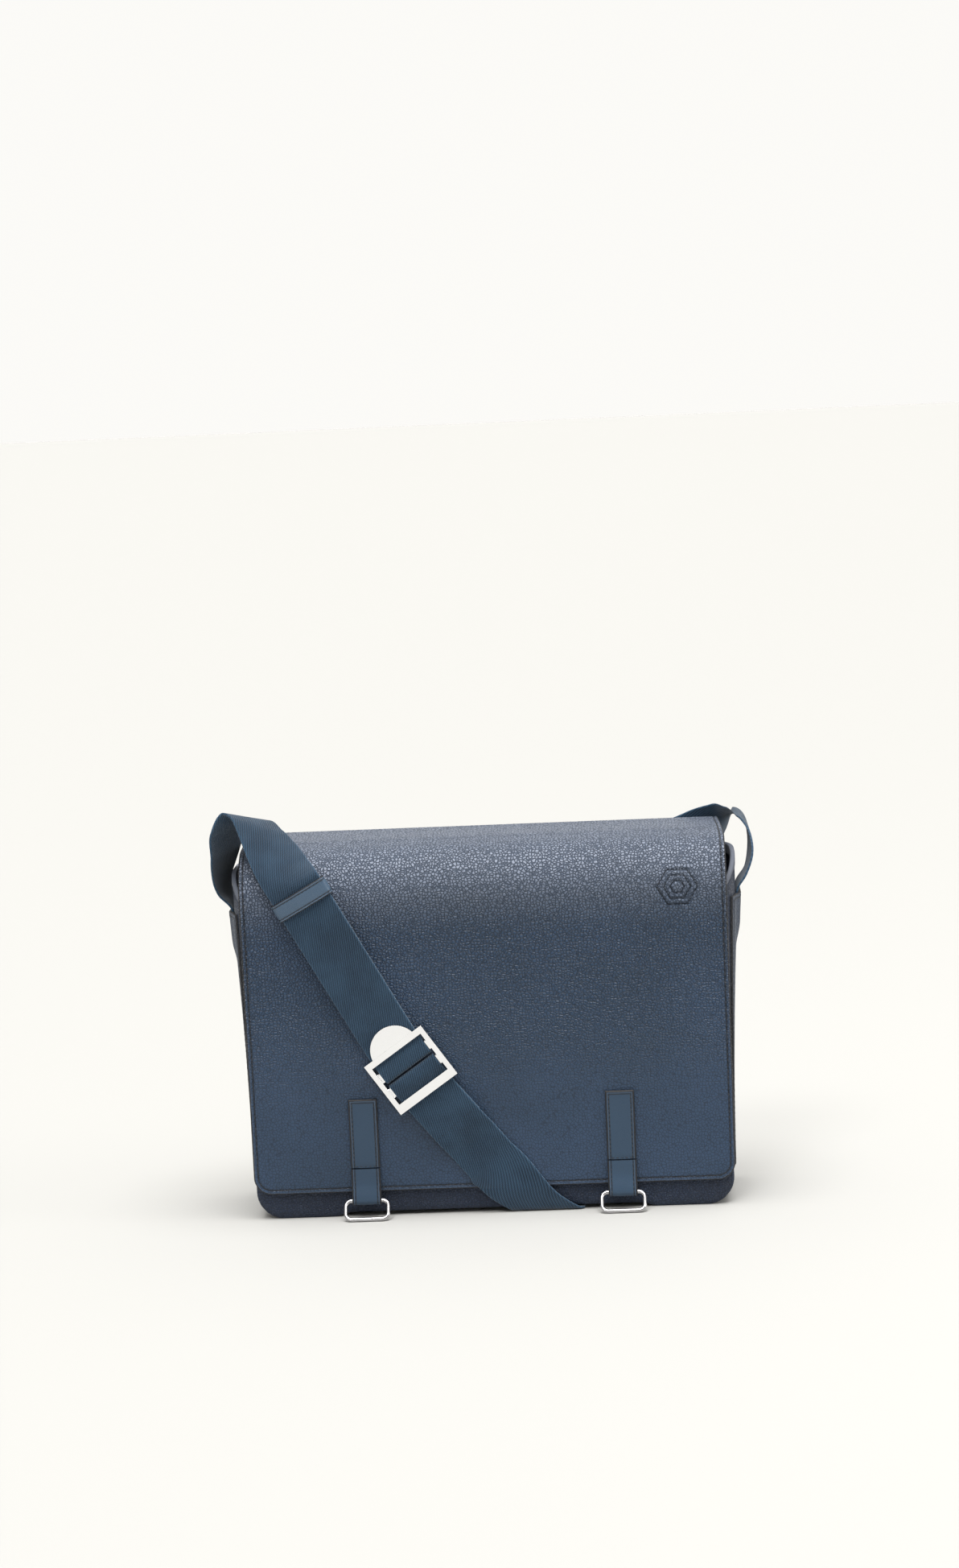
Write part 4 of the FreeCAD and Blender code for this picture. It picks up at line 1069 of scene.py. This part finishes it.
main, low = strap["mainLevel"], strap["tailLevel"]
stations = sewnEnd(-1) + [free(-1, a, b) for a, b in leftLoop] + [on(upper, -strap["tail"] - 3, main),
                                                                on(upper, 0.0, main)]
loopPiece, run = strapPiece("strap_loop_left", stations, stands=("strap_short",))
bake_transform(loopPiece)
start = slideBar - strap["barWidth"] / 2
stations = [on(upper, 0.0, main), on(upper, upperLength - 6, main), on(head, 1.5, main),
            on(head, strap["topBar"] + 0.6, main), on(head, start - 1.0, overLevel - 0.6),
            on(head, start + 1.5, overLevel)]
stations += barTurn(slideBar + strap["barWidth"] / 2 - strap["barThick"] / 2, 90, -90)
stations += [on(head, 8.0, low), on(head, 3.0, low), on(upper, upperLength - 6, low),
             on(upper, -strap["tail"], low)]
upperPiece, _ = strapPiece("strap_upper", stations, run, stands=("strap_short",))
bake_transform(upperPiece)
seam = strap["seam"]
end = loopBar + strap["barWidth"] / 2
stations = [on(lower, seam, low), on(lower, 4.0, low), on(head, strap["buckleLength"] - 6, low)]
stations += barTurn(loopBar - strap["barWidth"] / 2 + strap["barThick"] / 2, 270, 90)
stations += [on(head, end - 1.5, overLevel), on(head, end + 1.0, overLevel - 0.6),
             on(head, strap["buckleLength"] - strap["bottomBar"] - 0.6, main),
             on(head, strap["buckleLength"] - 2, main), on(lower, 4.0, main), on(lower, seam + 2, main),
             on(lower, seam + 9, (main + flatLevel) / 2 + 0.1), on(lower, seam + 16, flatLevel),
             on(lower, seam + 24, flatLevel)]
seamPiece, run = strapPiece("strap_seam_end", stations, stands=("strap_long",))
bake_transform(seamPiece)
sine = math.sin(math.radians(strap["lowerSlope"]))
skew = 1 / sine
edgeX = (lower["at"] + lower["along"] * (tailZ - flap["bottom"]) / sine)[0]
front, back, under, drop = body["front"], body["back"], 1.2, flap["bottom"]
lowY, highY = back + 1.3, back + 3.7
stations = [on(lower, seam + 24, flatLevel), on(lower, (tailZ - flap["bottom"]) / sine - 26, flatLevel),
            level(edgeX, flap["front"] - flatLevel, drop, stretch=skew),
            level(edgeX + 7, front - 3.9, 0.62 * drop, stretch=skew),
            level(edgeX + 14, front - 2.7, 0.34 * drop, stretch=skew),
            level(edgeX + 19, front - 1.8, 3.2, stretch=skew),
            level(edgeX + 22, front - 0.7, under + 0.4, stretch=skew),
            level(edgeX + 24, front + 1.5, under, stretch=skew), level(edgeX + 30, front + 22, under, 0.10, 1.08),
            level(edgeX + 34, back - 2.0, under, 0.11), level(edgeX + 34.5, back + 0.9, under + 0.4, 0.05),
            level(edgeX + 35, back + 1.7, 3.4), onBack(edgeX + 36, 12, 88, lowY), onBack(edgeX + 41, 48, 83, lowY),
            onBack(edgeX + 49, 100, 79, lowY), onBack(edgeX + 62, 156, 71, lowY), onBack(93, 190, 64, lowY + 0.6),
            onBack(107, 214, 56, highY + 0.6), onBack(122, 235, 45, highY + 1.0), onBack(139, 249, 31, highY + 1.6),
            onBack(156, 256, 20, highY + 2.6)] + [free(1, a, b) for a, b in rightLoop] + sewnEnd(1)[::-1]
aroundPiece, _ = strapPiece("strap_around", stations, run, stands=("strap_long",))
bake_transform(aroundPiece)

across = np.linspace(-18.0, 18.0, 40)[:, None]
centre, _ = on(lower, seam - 2.5, main + strap["thick"] / 2 - 0.1)
stitchPiece("strap_seam_stitches", [(centre + lower["across"] * across, repeated(offFlap, 40))], "flap",
            pitch=3.0, length=2.0, radius=0.3)

keeper = {"across": 22.2, "low": 0.35, "high": 6.6, "leather": 1.3, "radius": 3.4, "crown": 2.0,
          "seam": 2.0}
midLow, midHigh = keeper["low"] + keeper["leather"] / 2, keeper["high"] - keeper["leather"] / 2
side = keeper["across"] - keeper["leather"] / 2
path = closedLoop([(0, midHigh), (side, midHigh), (side, midLow), (-side, midLow), (-side, midHigh),
                   (-0.02, midHigh)], [keeper["radius"], 1.3, 1.3, keeper["radius"]], 0.5, 180)
front = path[:, 1] > (midLow + midHigh) / 2
path[:, 1] += keeper["crown"] * front * np.cos(np.clip(path[:, 0] / side, -1, 1) * math.pi / 2)
ahead = loopHeadings(path)
centres = upper["at"] + path[:, :1] * upper["across"] + path[:, 1:] * offFlap
out = -ahead[:, 1:] * upper["across"] + ahead[:, :1] * offFlap
profile, profileInset = stripProfile(strap["keeperLength"] / 2, keeper["leather"], keeper["seam"], 0.28,
                                     (0, 0.12, 0.35, 0.7, 1.2, 1.6, 2.0, 2.4, 3.0, 4.5))
grid = sweep(centres, repeated(upper["along"], len(path)), out, profile)
sweptPiece("keeper_leather", grid, keeperLeather, closed=True, inset=np.tile(profileInset, (len(path), 1)),
           slot="smooth_leather", body="keeper", stands=("strap_keeper",), sharp=180)
runs = []
for edge in (-1, 1):
    along = edge * (strap["keeperLength"] / 2 - keeper["seam"])
    xs = np.linspace(-20.0, 20.0, 44)[:, None]
    rise = keeper["high"] - 0.18 + keeper["crown"] * np.cos(xs / side * math.pi / 2)
    place = on(upper, along, 0)[0] + upper["across"] * xs + offFlap * rise
    runs.append((place, repeated(offFlap, 44)))
stitchPiece("keeper_stitches", runs, "keeper", pitch=3.2, length=2.2, radius=0.26)
print("strap made")


# Buckle and the pieces that keep their own solids

def bevelledCopy(name, node, width, body, material):
    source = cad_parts[node]
    mesh = source.data.copy()
    mesh.name = name
    work = bmesh.new()
    work.from_mesh(mesh)
    bmesh.ops.remove_doubles(work, verts=work.verts, dist=5e-6)
    bmesh.ops.dissolve_limit(work, angle_limit=math.radians(1.0), verts=work.verts, edges=work.edges)
    work.to_mesh(mesh)
    work.free()
    mesh.materials.clear()
    mesh.materials.append(material)
    piece = addObject(name, mesh)
    bevel = piece.modifiers.new("softEdges", "BEVEL")
    bevel.width, bevel.segments, bevel.limit_method = width * mm, 3, "ANGLE"
    bevel.angle_limit = math.radians(35)
    mesh.shade_smooth()
    mesh.set_sharp_from_angle(angle=math.radians(50))
    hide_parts(node)
    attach(piece, body)
    return piece


bevelledCopy("buckle_frame_metal", "buckle_frame", 0.35, "buckle", steel)
for node in ("buckle_slide_bar", "buckle_loop_bar"):
    bevelledCopy(node + "_metal", node, 0.2, "buckle", steel)
for node, material in (("base_board", boardStuff), ("body_magnets", magnetSteel), ("flap_magnets", magnetSteel)):
    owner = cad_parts[node]
    owner.data.materials.clear()
    owner.data.materials.append(material)
print("hardware made")


# Floor, light and camera

studio = {"floor": (0.475, 0.470, 0.452), "world": (1.0, 0.99, 0.96), "horizon": 0.97, "sky": 0.5, "overhead": 1.0,
          "front": 0.22,
          "suns": [("topSun", (0.05, -0.16, 1.0), 3.4, 42), ("keySun", (-0.22, -0.75, 0.8), 0.75, 16)],
          "side": ((1.9, -0.5, 0.8), (0, 0, 0.15), 0.9, 9)}
camera = {"target": (0.0, -0.0525, 0.141), "azimuth": 2.5, "elevation": 10.5, "roll": 2.53, "distance": 2.6,
          "lens": 82.94, "shiftX": -0.0051, "shiftY": 0.1521}

floorMesh = bpy.data.meshes.new("floor")
floorMesh.from_pydata([(-30, -30, 0), (30, -30, 0), (30, 30, 0), (-30, 30, 0)], [], [(0, 1, 2, 3)])
floor = addObject("floor", floorMesh)
floorMaterial, tree, shader = newMaterial("floorPaper")
shader.inputs["Base Color"].default_value = rgb(*studio["floor"])
shader.inputs["Roughness"].default_value = 0.9
shader.inputs["Specular IOR Level"].default_value = 0.1
floorMesh.materials.append(floorMaterial)
floor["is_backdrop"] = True

world = bpy.data.worlds.new("studio")
bpy.context.scene.world = world
world.use_nodes = True
tree = world.node_tree
background = tree.nodes["Background"]
background.inputs[0].default_value = rgb(*studio["world"])
part = addNode(tree, "ShaderNodeSeparateXYZ", Vector=addNode(tree, "ShaderNodeTexCoord").outputs["Generated"])
ahead = remap(tree, part.outputs[1], -0.5, 0.3, studio["front"], studio["sky"])  # dimmer in front of the bag
over = remap(tree, part.outputs[2], 0.4, 0.8, 0.0, 1.0)
sky = plus(tree, times(tree, ahead, calc(tree, "SUBTRACT", 1.0, over)), times(tree, over, studio["overhead"]))
rise = remap(tree, part.outputs[2], 0.14, 0.25, 0.0, 1.0)
power = plus(tree, times(tree, sky, rise), times(tree, calc(tree, "SUBTRACT", 1.0, rise), studio["horizon"]))
tree.links.new(power, background.inputs[1])
bpy.context.scene.view_settings.view_transform = "Standard"

for name, direction, power, angle in studio["suns"]:
    light = bpy.data.lights.new(name, "SUN")
    light.energy, light.angle = power, math.radians(angle)
    addObject(name, light).rotation_euler = (-Vector(direction)).to_track_quat("-Z", "Y").to_euler()
at, towards, size, power = studio["side"]
light = bpy.data.lights.new("sideLight", "AREA")
light.shape, light.size, light.energy = "DISK", size, power
lamp = addObject("sideLight", light)
lamp.location = at
lamp.rotation_euler = (Vector(towards) - Vector(at)).to_track_quat("-Z", "Y").to_euler()

azimuth, elevation = math.radians(camera["azimuth"]), math.radians(camera["elevation"])
target = Vector(camera["target"])
away = Vector((math.sin(azimuth) * math.cos(elevation), -math.cos(azimuth) * math.cos(elevation),
               math.sin(elevation)))
lens = bpy.data.cameras.new("camera")
lens.lens, lens.shift_x, lens.shift_y = camera["lens"], camera["shiftX"], camera["shiftY"]
lens.sensor_width = 36.0
cameraObject = addObject("camera", lens)
cameraObject.location = target + away * camera["distance"]
turned = (-away).to_track_quat("-Z", "Y").to_matrix() @ Euler((0, 0, -math.radians(camera["roll"]))).to_matrix()
cameraObject.rotation_euler = turned.to_euler()
bpy.context.scene.camera = cameraObject
print("studio ready")

low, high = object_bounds()
